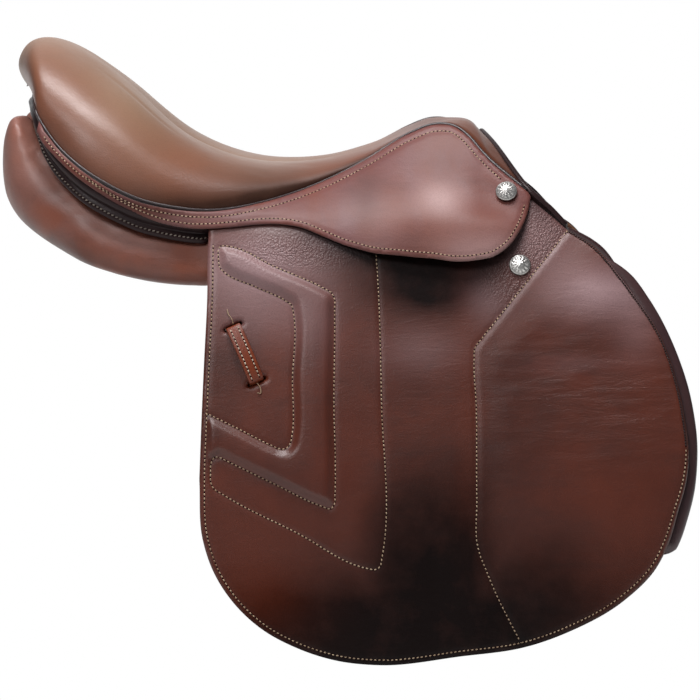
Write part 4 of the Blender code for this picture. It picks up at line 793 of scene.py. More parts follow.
# How far inside the flap's edge the stitches run, by the length along the edge
EDGE_INSETS = ((0.0, 0.0016), (0.180, 0.0018), (0.240, 0.0030), (0.300, 0.0044), (9.0, 0.0046))
FRONT_ROW_LENGTH = 0.215
# The slanting stitches of its front
FRONT_STITCHES = {"pitch": 0.0024, "length": 0.0026}
FRONT_LEAN = 0.8
FLAP_MESH = 0.0026
GROOVE_HALF_WIDTH = 0.0016
GROOVE_DEPTH = 0.0006

# The chevron pad: how far its side slopes, the share of its height that the slope gives, and its rear end
PAD_FOOT = 0.0006
PAD_SIDE = 0.0080
PAD_DOME = 2.4 * PAD_SIDE
PAD_SLOPE_SHARE = 0.86
PAD_REAR_X = -0.0770
PAD_REAR_RUN = 0.004
PAD_CLOSING = [(-0.0775, -0.1600), (-0.0790, -0.1262)]

# The knee patch: height and run of its edge and of its padding, and the block in its upper part
KNEE_SURROUND = [(0.36, -0.36), (0.40, -0.10), (0.30, 0.05)]
KNEE_STEPS = ((0.0009, 0.0026), (0.0016, 0.02))
KNEE_BLOCK = (0.272, -0.035, 0.040, 0.030)
KNEE_BLOCK_RISE = 0.0042
KNEE_BLOCK_RUN = 0.030
WRINKLE_RISE = 0.0007
WRINKLE_RUN = (0.004, 0.03)
WRINKLE_MIDDLE = -0.105
WRINKLE_HEIGHT = 0.085
FLAP_WAVE = 0.0006

# The keeper, a short strap through two slots
KEEPER_CENTRE = (-0.0450, -0.0780)
KEEPER_WIDTH = 0.0130
KEEPER_HALF = 0.0250
KEEPER_TILT = math.radians(-65.5)
KEEPER_THICK = 0.0022
KEEPER_ARCH = 0.0040
KEEPER_LIFT = 0.0014
KEEPER_UNDER = FLAP_IN - KEEPER_THICK
KEEPER_SIDES = 16
KEEPER_SQUARENESS = (0.35, 0.5)
KEEPER_ROW = 0.26
KEEPER_PITCH = 0.0034
SLOT_LENGTH = 0.0170
SLOT_WIDTH = 0.0042
SLOT_POINTS = 24
SLOT_SQUARENESS = (0.4, 0.7)
# Its course from behind the flap up through a slot to its middle: the way along, and outwards
KEEPER_COURSE = [
    (-KEEPER_HALF - 0.0100, KEEPER_UNDER), (-KEEPER_HALF - 0.0030, KEEPER_UNDER),
    (-KEEPER_HALF - 0.0004, KEEPER_UNDER + 0.0016), (-KEEPER_HALF, FLAP_IN / 2),
    (-KEEPER_HALF + 0.0010, KEEPER_LIFT), (-KEEPER_HALF + 0.0050, KEEPER_LIFT + 0.0020),
    (-KEEPER_HALF * 0.4, KEEPER_LIFT + KEEPER_ARCH), (0.0, KEEPER_LIFT + KEEPER_ARCH + 0.0006)]
# Loose ends of its thread: which way they go, then the way past the slot, across and outwards
THREAD_END_RADIUS = 0.00042
THREAD_ENDS = (
    ("upper", -1, [(0.0015, 0.0010, 0.0006), (0.0060, 0.0016, 0.0014), (0.0105, 0.0006, 0.0008),
                   (0.0150, 0.0012, 0.0005)]),
    ("lower", 1, [(0.0012, -0.0004, 0.0004), (0.0065, 0.0004, 0.0010), (0.0105, -0.0012, 0.0012),
                  (0.0090, -0.0034, 0.0005)]))


def flap_loop():
    """The outline of the flap with its fixed top part."""
    return closed_loop(FLAP_TOP_FRONT, FLAP_FRONT + FLAP_BOTTOM[1:], FLAP_REAR, FLAP_HEAD)


def seam_lines():
    """The flap's four seams."""
    seams = {key: smooth_path(run, 0.001)
             for key, run in (("outer", BAND_OUTER), ("tail", BAND_TAIL), ("inner", BAND_INNER))}
    seams["knee"] = np.vstack([closed_loop(KNEE_SEAM, KNEE_SEAM_DOWN), smooth_path(KNEE_SEAM_FOOT)])
    return seams


def inset_path(path, distance, side):
    """A path moved sideways in the plane by this distance."""
    run = unit(np.gradient(path, axis=0))
    return path + side * distance * np.column_stack([-run[:, 1], run[:, 0]])


def flap_edge():
    """The flap's edge, from its front top corner round the bottom to its rear top."""
    return smooth_path(FLAP_TOP_FRONT[2:] + FLAP_FRONT[1:] + FLAP_BOTTOM[1:] + FLAP_REAR[1:-1], 0.002)


def edge_rows():
    """The stitch row inside the flap's edge: its dark part along the knee roll, and the rest."""
    path = flap_edge()
    lengths = lengths_along(path)
    row = inset_path(path, by_table(lengths, EDGE_INSETS)[:, None], -1)
    return row[lengths < FRONT_ROW_LENGTH], row[lengths >= FRONT_ROW_LENGTH]


def flap_field():
    """Heights on the flap's face: the chevron stands up between its seams, and the knee patch is proud."""
    seams = seam_lines()
    band = np.vstack([seams["outer"], PAD_CLOSING, seams["inner"][::-1]])
    knee = np.vstack([seams["knee"], KNEE_SURROUND])
    front_row, low_row = edge_rows()

    def outer(x, z):
        flat = np.column_stack([x, z])
        away = np.minimum(distance_to(flat, seams["outer"]), distance_to(flat, seams["inner"]))
        swell = PAD_SLOPE_SHARE * ramp(away, PAD_FOOT, PAD_SIDE)
        swell += (1 - PAD_SLOPE_SHARE) * ramp(away, 0.0, PAD_DOME)
        rear = np.clip((x - PAD_REAR_X) / PAD_REAR_RUN, 0.0, 1.0)
        height = PAD_RISE * swell * rear * inside_of(flat, band)
        to_knee = distance_to(flat, seams["knee"])
        proud = inside_of(flat, knee)
        for rise, run in KNEE_STEPS:
            height += rise * (1.0 - hill(to_knee, 0.0, run)) * proud
        for row in [*seams.values(), low_row]:
            height -= groove(flat, row)
        folds = 1.0 - np.abs(noise_at(9.0 * x + 2.0 * z, 0.0, 42.0 * z, 4)) * 1.6
        where = ramp(to_knee, *WRINKLE_RUN) * hill(z, WRINKLE_MIDDLE, WRINKLE_HEIGHT)
        height += WRINKLE_RISE * folds * proud * where
        cx, cz, rx, rz = KNEE_BLOCK
        where = ramp(distance_to(flat, front_row), 0.0, KNEE_BLOCK_RUN)
        height += KNEE_BLOCK_RISE * hill(x, cx, rx) * hill(z, cz, rz) * proud * where
        return height + FLAP_WAVE * noise_at(11.0 * x, 3.0, 9.0 * z)

    return outer


def keeper_flat(along, across):
    """Places seen from the side, by the way along the keeper and across it from its middle."""
    run = np.array((math.cos(KEEPER_TILT), math.sin(KEEPER_TILT)))
    return np.array(KEEPER_CENTRE) + np.outer(along, run) + np.outer(across, (-run[1], run[0]))


def squarish(sides, squareness, width, thickness):
    """A closed section between round and square."""
    turns = np.linspace(0, 2 * math.pi, sides, endpoint=False)
    wide = blunt(np.cos(turns), squareness[0]) * width / 2
    thick = blunt(np.sin(turns), squareness[1]) * thickness / 2
    return wide, thick


def keeper_slots():
    """Outlines of the two slots that the keeper passes through."""
    across, along = squarish(SLOT_POINTS, SLOT_SQUARENESS, SLOT_LENGTH, SLOT_WIDTH)
    return [keeper_flat(way * KEEPER_HALF + along, across) for way in (-1, 1)]


PEBBLE_SPOTS = spots((-0.005, 0.008, 0.045, 0.016, 0.8), (0.215, 0.010, 0.030, 0.040, 1.0),
                     (0.185, -0.020, 0.025, 0.020, 0.5))
# How far down the painted shadow under the skirt's lobe reaches
LOBE_SHADOW_REACH = 0.020
# Painted shade on the flap: under the skirt's lobe, beside the keeper, across the knee patch's middle and towards
# the bottom
FLAP_PAINTED_SHADE = spots((0.040, -0.300, 0.060, 0.040, 0.3), (0.185, -0.140, 0.030, 0.050, 0.18),
                    (0.230, -0.075, 0.040, 0.012, 0.20), (0.215, -0.260, 0.060, 0.050, 0.35),
                    (0.112, -0.026, 0.055, 0.024, 0.8), (0.245, -0.130, 0.070, 0.045, 0.20),
                    (0.130, -0.290, 0.030, 0.050, 0.3), (-0.060, -0.085, 0.024, 0.040, 0.30),
                    (-0.040, -0.300, 0.050, 0.040, 0.35))


def flap_grime_and_shade(x, z):
    """Grime where the leg rests, between the tail's seam and the knee patch; painted shade that darkens the flap
    towards its bottom; the painted shadow under the skirt's lobe; and the spots of painted shade.
    """
    low = ramp(z, -0.12, -0.22)
    column = ramp(x, 0.060 - 0.050 * low, 0.115 - 0.025 * low) * ramp(x, 0.205, 0.135) * (0.12 + 0.72 * low)
    # Painted shade: darker towards the bottom, where the light from above falls off
    bottom = 0.62 * ramp(z, -0.190, -0.310) + 0.30 * ramp(z, -0.215, -0.330) * (
        ramp(x, -0.060, 0.060) * ramp(x, 0.280, 0.150))
    # Painted shadow of the skirt's lobe on the flap, just below the lobe's edge
    below_skirt = np.clip(by_table(x, SKIRT_LOW_EDGE) - z, 0.0, 1.0)
    under = np.exp(-below_skirt / LOBE_SHADOW_REACH) * ramp(x, -0.050, 0.030)
    return np.clip(np.maximum(column, bottom) + 1.1 * under + FLAP_PAINTED_SHADE(x, z), 0.0, 1.0)


def flap_pebble(x, z):
    """Pebbled grain at the front top corner, up to the knee patch's seam, and below the skirt."""
    corner = PEBBLE_SPOTS(x, z)
    ends = np.array([KNEE_SEAM[0], KNEE_SEAM[-1]])
    run = ends[1] - ends[0]
    beside = ((x - ends[0][0]) * run[1] - (z - ends[0][1]) * run[0]) / np.hypot(*run)
    return np.where(x > 0.10, corner * ramp(beside, -0.002, 0.002), corner)


FLAP_FIELDS = {
    "dark": flap_grime_and_shade,
    "warm": spots((-0.040, -0.250, 0.050, 0.060, 0.75), (0.045, -0.170, 0.018, 0.060, 0.5),
                  (0.250, -0.020, 0.060, 0.040, 0.45), (0.290, -0.230, 0.040, 0.060, 0.4),
                  (0.300, -0.120, 0.020, 0.060, 0.6), (0.145, -0.110, 0.012, 0.080, 0.5)),
    # Painted sheen and highlights on the flap's upper part, on the knee patch's top and in lighter spots lower down
    "painted_sheen": spots((-0.040, -0.006, 0.050, 0.028, 0.62), (-0.030, -0.045, 0.045, 0.024, 0.25),
                  (0.015, -0.050, 0.020, 0.040, 0.16), (0.262, -0.028, 0.042, 0.022, 0.80),
                  (0.210, 0.018, 0.030, 0.030, 0.40), (0.165, -0.035, 0.020, 0.020, 0.25),
                  (0.105, -0.075, 0.035, 0.018, 0.20), (0.292, -0.062, 0.020, 0.024, 0.24),
                  (0.235, -0.088, 0.040, 0.008, 0.10), (-0.040, 0.006, 0.040, 0.012, 0.10)),
    "pebble": flap_pebble,
    "wrinkle": spots((0.265, -0.118, 0.075, 0.050, 1.0), (0.110, -0.080, 0.060, 0.070, 0.35),
                     (0.260, -0.040, 0.050, 0.025, 0.35)),
}


def mesh_lines(seams):
    """Lines that the flap's mesh follows: its seams with their two shoulders."""
    rows = (seams["outer"], seams["tail"], seams["inner"], edge_rows()[1][4:-4])
    lines = [inset_path(row[2:-2], side * GROOVE_HALF_WIDTH, 1)[::2] for row in rows for side in (-1, 0, 1)]
    return lines + [seams["knee"][6:-3]]


def make_flaps():
    """The flaps with their top parts, and their rows of stitches, which lie on the same folded face."""
    outer = flap_field()
    seams = seam_lines()
    front_row, low_row = edge_rows()
    window = closed_loop(*[[a, b] for a, b in zip(BAR_WINDOW, BAR_WINDOW[1:] + BAR_WINDOW[:1])], pitch=0.004)
    for name, sign in SIDES:
        skin = leather_sheet(
            "flap_leather_" + name, flap_loop(), FLAP_MESH, lambda x, z: np.full_like(x, FLAP_IN), outer, sign,
            "flap_leather", FLAP_FIELDS, holes=[window] + keeper_slots(), creases=mesh_lines(seams),
            slot="flap_leather", replaced=["flap_" + name, "flap_top_" + name, "flap_pad_" + name])
        rows = [side_row(row, outer, sign) for row in (*seams.values(), low_row)]
        light = stitches("flap_stitches_" + name, rows, "cream_thread", slot="flap_leather")
        dark = stitches("knee_roll_stitches_" + name, [side_row(front_row, outer, sign)], "brown_thread",
                        lean=-FRONT_LEAN * sign, slot="flap_leather", **FRONT_STITCHES)
        for piece in (skin, light, dark):
            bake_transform(piece)


def keeper_place(along, across, out, sign):
    """Places on the keeper, this far outside the flap's outer face."""
    flat = keeper_flat(along, across)
    return on_side(flat[:, 0], flat[:, 1], out, sign)


def make_keepers():
    """The keeper strap with rounded edges, its two rows of stitches and the loose ends of the thread."""
    run = smooth_path(KEEPER_COURSE + [(-along, out) for along, out in KEEPER_COURSE[-2::-1]], 0.0012)
    lean = unit(np.gradient(run, axis=0))
    shown = run[np.abs(run[:, 0]) < KEEPER_HALF - 0.001]
    section = squarish(KEEPER_SIDES, KEEPER_SQUARENESS, KEEPER_WIDTH, KEEPER_THICK)
    for name, sign in SIDES:
        about = {"body": "flap_" + name, "slot": "keeper_leather"}
        lines = [keeper_place(run[:, 0] - lean[:, 1] * thick, wide, run[:, 1] + lean[:, 0] * thick, sign)
                 for wide, thick in zip(*section)]
        points = np.stack(lines, axis=1)
        new_piece("keeper_strap_" + name, points.reshape(-1, 3), skin_faces(*points.shape[:2]),
                  ["keeper_leather"], replaced=["leather_keeper_" + name], **about)
        rows = []
        for across in (-KEEPER_WIDTH * KEEPER_ROW, KEEPER_WIDTH * KEEPER_ROW):
            upper, lower = (keeper_place(shown[:, 0], across, shown[:, 1] + rise, sign)
                            for rise in (KEEPER_THICK / 2, 0.0))
            rows.append((upper, upper - lower))
        stitches("keeper_stitches_" + name, rows, "white_thread", pitch=KEEPER_PITCH, **about)
        for key, way, course in THREAD_ENDS:
            places = [(way * (KEEPER_HALF + past), across, out) for past, across, out in course]
            route = keeper_place(*smooth_path(places, 0.0006).T, sign)
            tube("thread_end_%s_%s" % (key, name), route, THREAD_END_RADIUS, 6, "cream_thread", **about)


# The skirt and its lobe

SKIRT_LOW_EDGE = [(-0.2265, 0.1080), (-0.2206, 0.0984), (-0.2057, 0.0834), (-0.1876, 0.0685), (-0.1701, 0.0568),
                  (-0.1528, 0.0466), (-0.1356, 0.0380), (-0.1176, 0.0311), (-0.0950, 0.0265), (-0.0584, 0.0266),
                  (-0.0386, 0.0282), (-0.0161, 0.0283), (0.0017, 0.0256), (0.0210, 0.0184), (0.0433, 0.0097),
                  (0.0620, 0.0050), (0.0912, 0.0044), (0.1143, 0.0030), (0.1373, 0.0004), (0.1546, 0.0015),
                  (0.1719, 0.0053), (0.1839, 0.0114), (0.1922, 0.0213), (0.1985, 0.0346), (0.2018, 0.0470),
                  (0.2026, 0.0520)]
SKIRT_TUCK = 0.0010
UPPER_ROW_INSETS = ((-0.19, 0.0032), (-0.15, 0.0044), (-0.10, 0.0058), (0.00, 0.0064), (0.20, 0.0072))
LOBE_CURL = 0.0006
LOBE_CURL_REACH = 0.012
LOBE_HANG = 0.0055
LOBE_HANG_REAR = (0.045, 0.105)
LOBE_HANG_FRONT = (0.196, 0.165)
LOWER_ROW_INSET = 0.0040
UPPER_ROW_ENDS = (-0.184, 0.178)
SKIRT_MESH = 0.0024
SKIRT_WAVE = 0.0004
LOBE_DROP_EASING = 0.30
BULGE_EASING_UP = 0.42


def skirt_top(tuck):
    """The skirt's upper edge under the welt, from the rear to the front."""
    xs = np.concatenate([np.linspace(-0.2240, 0.09, 60), np.linspace(0.093, 0.2010, 50)])
    edge = EDGE_BY_X.at(xs)[:, 1]
    slope = (EDGE_BY_X.at(xs + 0.002)[:, 1] - EDGE_BY_X.at(xs - 0.002)[:, 1]) / 0.004
    length = np.hypot(slope, 1.0)
    return np.column_stack([xs + tuck * slope / length, edge - tuck / length])


SKIRT_FIELDS = {
    "dark": spots((0.060, 0.045, 0.014, 0.030, 0.35), (-0.130, 0.050, 0.050, 0.020, 0.55),
                  (0.095, 0.010, 0.030, 0.010, 0.25), (0.125, 0.085, 0.02, 0.02, 0.2)),
    "warm": spots((0.160, 0.030, 0.040, 0.020, 0.45), (0.085, 0.040, 0.016, 0.030, 0.4),
                  (0.125, 0.095, 0.030, 0.018, 0.5), (-0.200, 0.085, 0.040, 0.030, 0.3)),
    # Painted highlight on the skirt over the stirrup bar, and painted sheen on the lobe's lower part and towards the
    # rear
    "painted_sheen": spots((0.125, 0.047, 0.020, 0.016, 1.00), (0.070, 0.026, 0.020, 0.014, 0.20),
                  (0.160, 0.000, 0.045, 0.022, 0.62), (-0.080, 0.034, 0.050, 0.008, 0.22)),
    "wrinkle": spots((0.125, 0.058, 0.035, 0.022, 0.6)),
}


def make_skirts():
    """The skirts with their lobes, which stand off for the stirrup bars, and their two rows of stitches."""
    top = skirt_top(SKIRT_TUCK)
    low = smooth_path(SKIRT_LOW_EDGE, 0.002)
    low[:, 1] -= LOBE_HANG * ramp(low[:, 0], *LOBE_HANG_REAR) * ramp(low[:, 0], *LOBE_HANG_FRONT)
    loop = np.vstack([top, low[::-1]])
    upper_row = skirt_top(by_table(top[:, 0], UPPER_ROW_INSETS))
    upper_row = upper_row[(upper_row[:, 0] > UPPER_ROW_ENDS[0]) & (upper_row[:, 0] < UPPER_ROW_ENDS[1])]
    lower_row = inset_path(low, LOWER_ROW_INSET, 1)[3:-4]

    def stand_off(x, z):
        near = np.exp(-distance_to(np.column_stack([x, z]), low) / LOBE_CURL_REACH)
        curl = LOBE_CURL * near * ramp(x, -0.050, 0.050) * ramp(x, 0.205, 0.180)
        rise = z - BULGE_CENTRE[1]
        easing = 1.0 + (BULGE_EASING_UP - 1.0) * ramp(x, 0.200, 0.105)
        held = BULGE_CENTRE[1] + np.where(rise < 0, rise * LOBE_DROP_EASING, rise * easing)
        return skirt_bulge(x, held) + curl

    def outer(x, z):
        flat = np.column_stack([x, z])
        sunk = groove(flat, upper_row) + groove(flat, lower_row)
        return SKIRT_OUT + stand_off(x, z) - sunk + SKIRT_WAVE * noise_at(14.0 * x, 7.0, 22.0 * z)

    for name, sign in SIDES:
        skin = leather_sheet(
            "skirt_leather_" + name, loop, SKIRT_MESH, lambda x, z: SKIRT_IN + stand_off(x, z), outer, sign,
            "skirt_leather", SKIRT_FIELDS, slot="skirt_leather",
            replaced=["skirt_" + name, "skirt_lobe_" + name])
        rows = [side_row(row, outer, sign) for row in (upper_row, lower_row)]
        light = stitches("skirt_stitches_" + name, rows, "cream_thread", slot="skirt_leather")
        for piece in (skin, light):
            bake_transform(piece)


# The seat

CORNER_ROWS = 8
# The turn between back and sides: by step and by x
CORNER_STEPS = (1.0, 0.86)
CORNER_X = (-0.10, -0.16)
REAR_FULLNESS = 0.0070
RIM_FULLNESS = 0.0046
FOAM_CLEARANCE = 0.0005
FRONT_FULLNESS = 0.0024
COVER_WAVE = 0.0008
# Where the foam's lift begins, as a share of the way from the edge
LIFT_RUN = 0.15
SEAT_SHARES = np.concatenate([np.linspace(0.004, 0.12, 18)[:-1], np.linspace(0.12, 0.80, 80)[:-1],
                              np.linspace(0.80, 0.9965, 46)])
EVEN_STEPS = np.linspace(-1, 1, 121)
SEAT_STEPS = np.sign(EVEN_STEPS) * (1 - (1 - np.abs(EVEN_STEPS)) ** 1.15)
# Creases of use: share and step at both ends, depth and width
SEAT_CREASES = ((0.33, 0.30, 0.47, 0.44, 0.0009, 0.012), (0.60, 0.62, 0.63, 0.78, 0.0005, 0.008),
                (0.66, 0.50, 0.70, 0.72, 0.0004, 0.008))


def rounded_rear(grid, steps):
    """Takes the hard turn out of the cover between its back and its sides; the seam stays where it is."""
    reach = np.arange(-CORNER_ROWS, CORNER_ROWS + 1)
    kernel = np.exp(-0.5 * (reach / (CORNER_ROWS / 2.2)) ** 2)
    kernel /= kernel.sum()
    rows = np.clip(np.arange(len(grid))[:, None] + reach, 0, len(grid) - 1)
    soft = (grid[rows] * kernel[None, :, None, None]).sum(axis=1)
    share = (ramp(steps, *CORNER_STEPS) * ramp(grid[..., 0], *CORNER_X))[..., None]
    return grid + (soft - grid) * share


def fuller(places, shares, steps):
    """The cover's foam, filled out behind the cantle, along its rim and at the pommel's front."""
    places = places.copy()
    behind = hill(places[..., 2], 0.160, 0.020) * hill(places[..., 1], 0.0, 0.075)
    places[..., 0] -= REAR_FULLNESS * behind * ramp(shares, 0.30, 0.05)
    rim = hill(places[..., 0], -0.150, 0.030) * ramp(steps, 1.0, 0.75)
    front = ramp(shares, 0.86, 0.96) * ramp(steps, 0.85, 0.20)
    places[..., 2] += RIM_FULLNESS * rim + FRONT_FULLNESS * front
    return places


def crease_depths(shares, steps):
    """How deep the cover is creased."""
    total = np.zeros_like(steps)
    for s0, t0, s1, t1, depth, width in SEAT_CREASES:
        run_s, run_t = s1 - s0, t1 - t0
        along = np.clip(((shares - s0) * run_s + (steps - t0) * run_t) / (run_s ** 2 + run_t ** 2), 0, 1)
        gap = np.hypot(shares - s0 - along * run_s, (steps - t0 - along * run_t) * 0.5)
        total += depth * hill(gap, 0.0, width) * np.sin(math.pi * np.clip(along, 0.02, 0.98)) ** 0.5
    return total


def seat_fields(x, steps):
    """Darker along the welt, at the waist's sides and towards the front, warm at both ends, with painted sheen over
    the top and a painted highlight on the rear side.
    """
    dark = 0.75 * hill(steps, 1.0, 0.10) * np.clip((x + 0.16) / 0.06, 0, 1)
    dark += 0.55 * hill(x, -0.03, 0.045) * np.clip((steps - 0.35) / 0.4, 0, 1)
    dark += 0.30 * hill(steps, 1.0, 0.06) + 0.35 * ramp(x, 0.06, 0.12)
    warm = 0.8 * hill(steps, 0.72, 0.20) * hill(x, -0.17, 0.07) + 0.5 * hill(x, 0.15, 0.03)
    # Painted sheen over the seat's top, and a painted highlight on its rear side
    painted_sheen = 0.70 * hill(steps, 0.0, 0.62) * np.clip((0.10 - x) / 0.12, 0, 1)
    painted_sheen += 0.40 * hill(x, -0.150, 0.035) * hill(steps, 0.50, 0.30)
    return {"dark": dark, "warm": warm, "painted_sheen": painted_sheen}


def make_seat():
    """The seat's cover: fine leather over foam, with the soft creases of use."""
    grid = seat_points(SEAT_SHARES, SEAT_STEPS)
    rows, columns = grid.shape[:2]
    normal = unit(np.cross(np.gradient(grid, axis=0), np.gradient(grid, axis=1)))
    normal *= np.where((normal * (grid - CORE)).sum(axis=-1, keepdims=True) > 0, 1.0, -1.0)
    shares, steps = np.meshgrid(SEAT_SHARES, np.abs(SEAT_STEPS), indexing="ij")
    wave = noise_at(*(grid.reshape(-1, 3).T * 16.0)).reshape(rows, columns)
    lift = (COVER_WAVE * wave + FOAM_CLEARANCE) * np.clip((1 - steps) / LIFT_RUN, 0, 1)
    lift -= crease_depths(shares, steps)
    grid = fuller(rounded_rear(grid, steps), shares, steps)
    points = np.vstack([(grid + lift[..., None] * normal).reshape(-1, 3),
                        (grid - COVER_THICK * normal).reshape(-1, 3)])
    count = rows * columns
    order = np.arange(count).reshape(rows, columns)
    corners = [order[:-1, :-1], order[:-1, 1:], order[1:, 1:], order[1:, :-1]]
    faces = np.stack(corners, axis=-1).reshape(-1, 4)
    border = [pair for line in (order[:, 0], order[:, -1], order[0], order[-1]) for pair in zip(line, line[1:])]
    walls = [(a, b, b + count, a + count) for a, b in border]
    faces = np.vstack([faces, faces[:, (0, 3, 2, 1)] + count, walls]).tolist()
    rest = np.vstack([grid.reshape(-1, 3)] * 2)
    cover = new_piece("seat_cover_leather", points, faces, ["seat_leather"], body="saddle", slot="seat_leather",
                      replaced=["seat_cover"], rest=rest, fields=seat_fields(rest[:, 0], np.tile(steps.ravel(), 2)))
    turned_outwards(cover.data)


def seat_edge(shares, outwards=0.0, down=0.0):
    """The seat's edge on the left, moved outwards and down."""
    place, ahead, behind = (SEAT_SECTIONS.at(np.maximum(shares + step, 0.0))[..., EDGE_COLUMNS]
                            for step in (0.0, 0.01, -0.01))
    run = ahead - behind
    out = unit(np.column_stack([-run[:, 1], run[:, 0], np.zeros(len(run))]))
    return place + outwards * out - (0.0, 0.0, down), out


WELT_SHARES = np.concatenate([np.linspace(0.0, 0.8, 150), np.linspace(0.803, 0.997, 60)])
PIPING_REAR = 0.0012
PIPING_FRONT = 0.0017
PIPING_OUT = 0.0010
PIPING_UP = 0.0009
# The thin black cord painted in as the shaded gap under the piping
GAP_SHADE_RADIUS = 0.0007
GAP_SHADE_DOWN = 0.0010


def both_sides(path):
    """A path that starts on the centreline, carried on from its mirror image on the right."""
    return np.vstack([path[:0:-1] * (1, -1, 1), path])


def make_welt():
    """The piping round the seat, fuller over the pommel, and under it a thin black cord that stands for the dark gap
    below the piping: painted shade.
    """
    radii = PIPING_REAR + (PIPING_FRONT - PIPING_REAR) * ramp(WELT_SHARES, 0.76, 0.88)
    about = {"body": "saddle", "slot": "dark_leather"}
    piping, gap_shade = (seat_edge(WELT_SHARES, PIPING_OUT, down)[0] for down in (-PIPING_UP, GAP_SHADE_DOWN))
    piping[0, 1] = gap_shade[0, 1] = 0.0
    tube("seat_piping", both_sides(piping), np.concatenate([radii[:0:-1], radii]), 12, "piping_leather",
         replaced=["seat_welt"], **about)
    # Painted shade: a black cord in place of the dark gap under the piping
    tube("seat_piping_gap_shade", both_sides(gap_shade), GAP_SHADE_RADIUS, 8, "black_leather", **about)


def band_piece(name, table, look, **about):
    """A band from rows of places, one row for each point of its section, closed at both ends."""
    rings = np.stack(table, axis=1)
    made = new_piece(name, rings.reshape(-1, 3), skin_faces(*rings.shape[:2]), [look], **about)
    turned_outwards(made.data)


# Sections of the facings: share of the width from the upper edge, and the rise over the flat strip
CANTLE_PROFILE = [(0.12, -0.0010), (0.16, 0.0006), (0.22, 0.0024), (0.30, 0.0038), (0.40, 0.0046), (0.50, 0.0044),
                  (0.58, 0.0030), (0.64, 0.0006), (0.68, -0.0012), (0.72, -0.0010), (0.80, 0.0001), (0.92, 0.0004),
                  (0.98, 0.0000), (1.0, -0.0008), (1.0, -0.0026), (0.57, -0.0030), (0.14, -0.0030)]
CANTLE_ROW = 0.84
CANTLE_SHARES = np.concatenate([np.linspace(0.0, 0.30, 70), np.linspace(0.304, 0.552, 60)])
# How far the facing hangs down, by the share of the seat's length
CANTLE_DROPS = ((0.0, 0.019), (0.12, 0.0262), (0.22, 0.0322), (0.30, 0.0315), (0.40, 0.0285), (0.46, 0.0280),
                (0.56, 0.0290))
# How far the facing is inside the seat's edge, by the share of its width
CANTLE_STANDS = ((0.16, -0.0042), (0.58, -0.0036), (1.0, -0.0034))
CANTLE_TUCK_END = 0.16
CANTLE_SPREAD = 0.0050
CANTLE_SPREAD_END = 0.22
CANTLE_TIP = (0.556, 0.014)
CANTLE_TIP_HEIGHT = 0.56
CANTLE_THREAD_RISE = 0.0004
CANTLE_STITCHES = {"lean": 0.5, "pitch": 0.0038}
POMMEL_PROFILE = [(0.04, 0.0002), (0.00, 0.0008), (-0.03, 0.0020), (-0.03, 0.0036), (0.00, 0.0050),
                  (0.05, 0.0056), (0.10, 0.0052), (0.14, 0.0044), (0.17, 0.0036), (0.20, 0.0034),
                  (0.24, 0.0042), (0.32, 0.0047), (0.60, 0.0050), (0.90, 0.0048), (0.97, 0.0042),
                  (1.0, 0.0028), (1.0, 0.0004), (0.50, 0.0002)]
POMMEL_ROW = 0.27
POMMEL_SHARE = 0.9965
POMMEL_SHIFT = (0.0004, 0.0, -0.0006)
POMMEL_ENDS = [(0.2170, 0.1190, 0.0420), (0.2310, 0.1230, 0.0270)]
# By the distance from the middle: the strip's height, and its lower edge's distance as a share of the upper's
POMMEL_HEIGHTS = ((0.0, 0.0240), (0.06, 0.0230), (0.11, 0.0180), (0.14, 0.0120))
POMMEL_PULLS = ((0.0, 1.0), (0.06, 0.86), (0.11, 0.88), (0.14, 0.90))
POMMEL_LEAN = 0.0020
POMMEL_BELLY = 0.0015
POMMEL_POINTS = 44
POMMEL_THREAD_RISE = 0.0046


def make_cantle_facing():
    """Round the cantle: a soft roll, then a flat strip with a row of stitches near its lower edge."""
    edge, out = seat_edge(CANTLE_SHARES)
    edge[0, 1] = 0.0
    out[0] = (-1.0, 0.0, 0.0)
    drop = by_table(CANTLE_SHARES, CANTLE_DROPS)
    tuck = np.minimum(1.0, CANTLE_SHARES / CANTLE_TUCK_END)
    spread = CANTLE_SPREAD * np.maximum(0.0, 1.0 - CANTLE_SHARES / CANTLE_SPREAD_END)
    tip = np.clip((CANTLE_TIP[0] - CANTLE_SHARES) / CANTLE_TIP[1], 0.0, 1.0) ** 0.5
    first = CANTLE_STANDS[0][0]

    def place(share, rise):
        stand = by_table(share, CANTLE_STANDS) * tuck + spread * max(0.0, (share - first) / (1.0 - first)) + rise
        spot = edge + out * stand[:, None]
        spot[:, 2] -= drop * (CANTLE_TIP_HEIGHT + (share - CANTLE_TIP_HEIGHT) * tip)
        return both_sides(spot)

    about = {"body": "saddle", "slot": "dark_leather"}
    band_piece("cantle_facing_strip", [place(*row) for row in CANTLE_PROFILE], "facing_leather",
               replaced=["cantle_facing"], **about)
    stitches("cantle_facing_stitches", [(place(CANTLE_ROW, CANTLE_THREAD_RISE), both_sides(out))], "grey_thread",
             **CANTLE_STITCHES, **about)


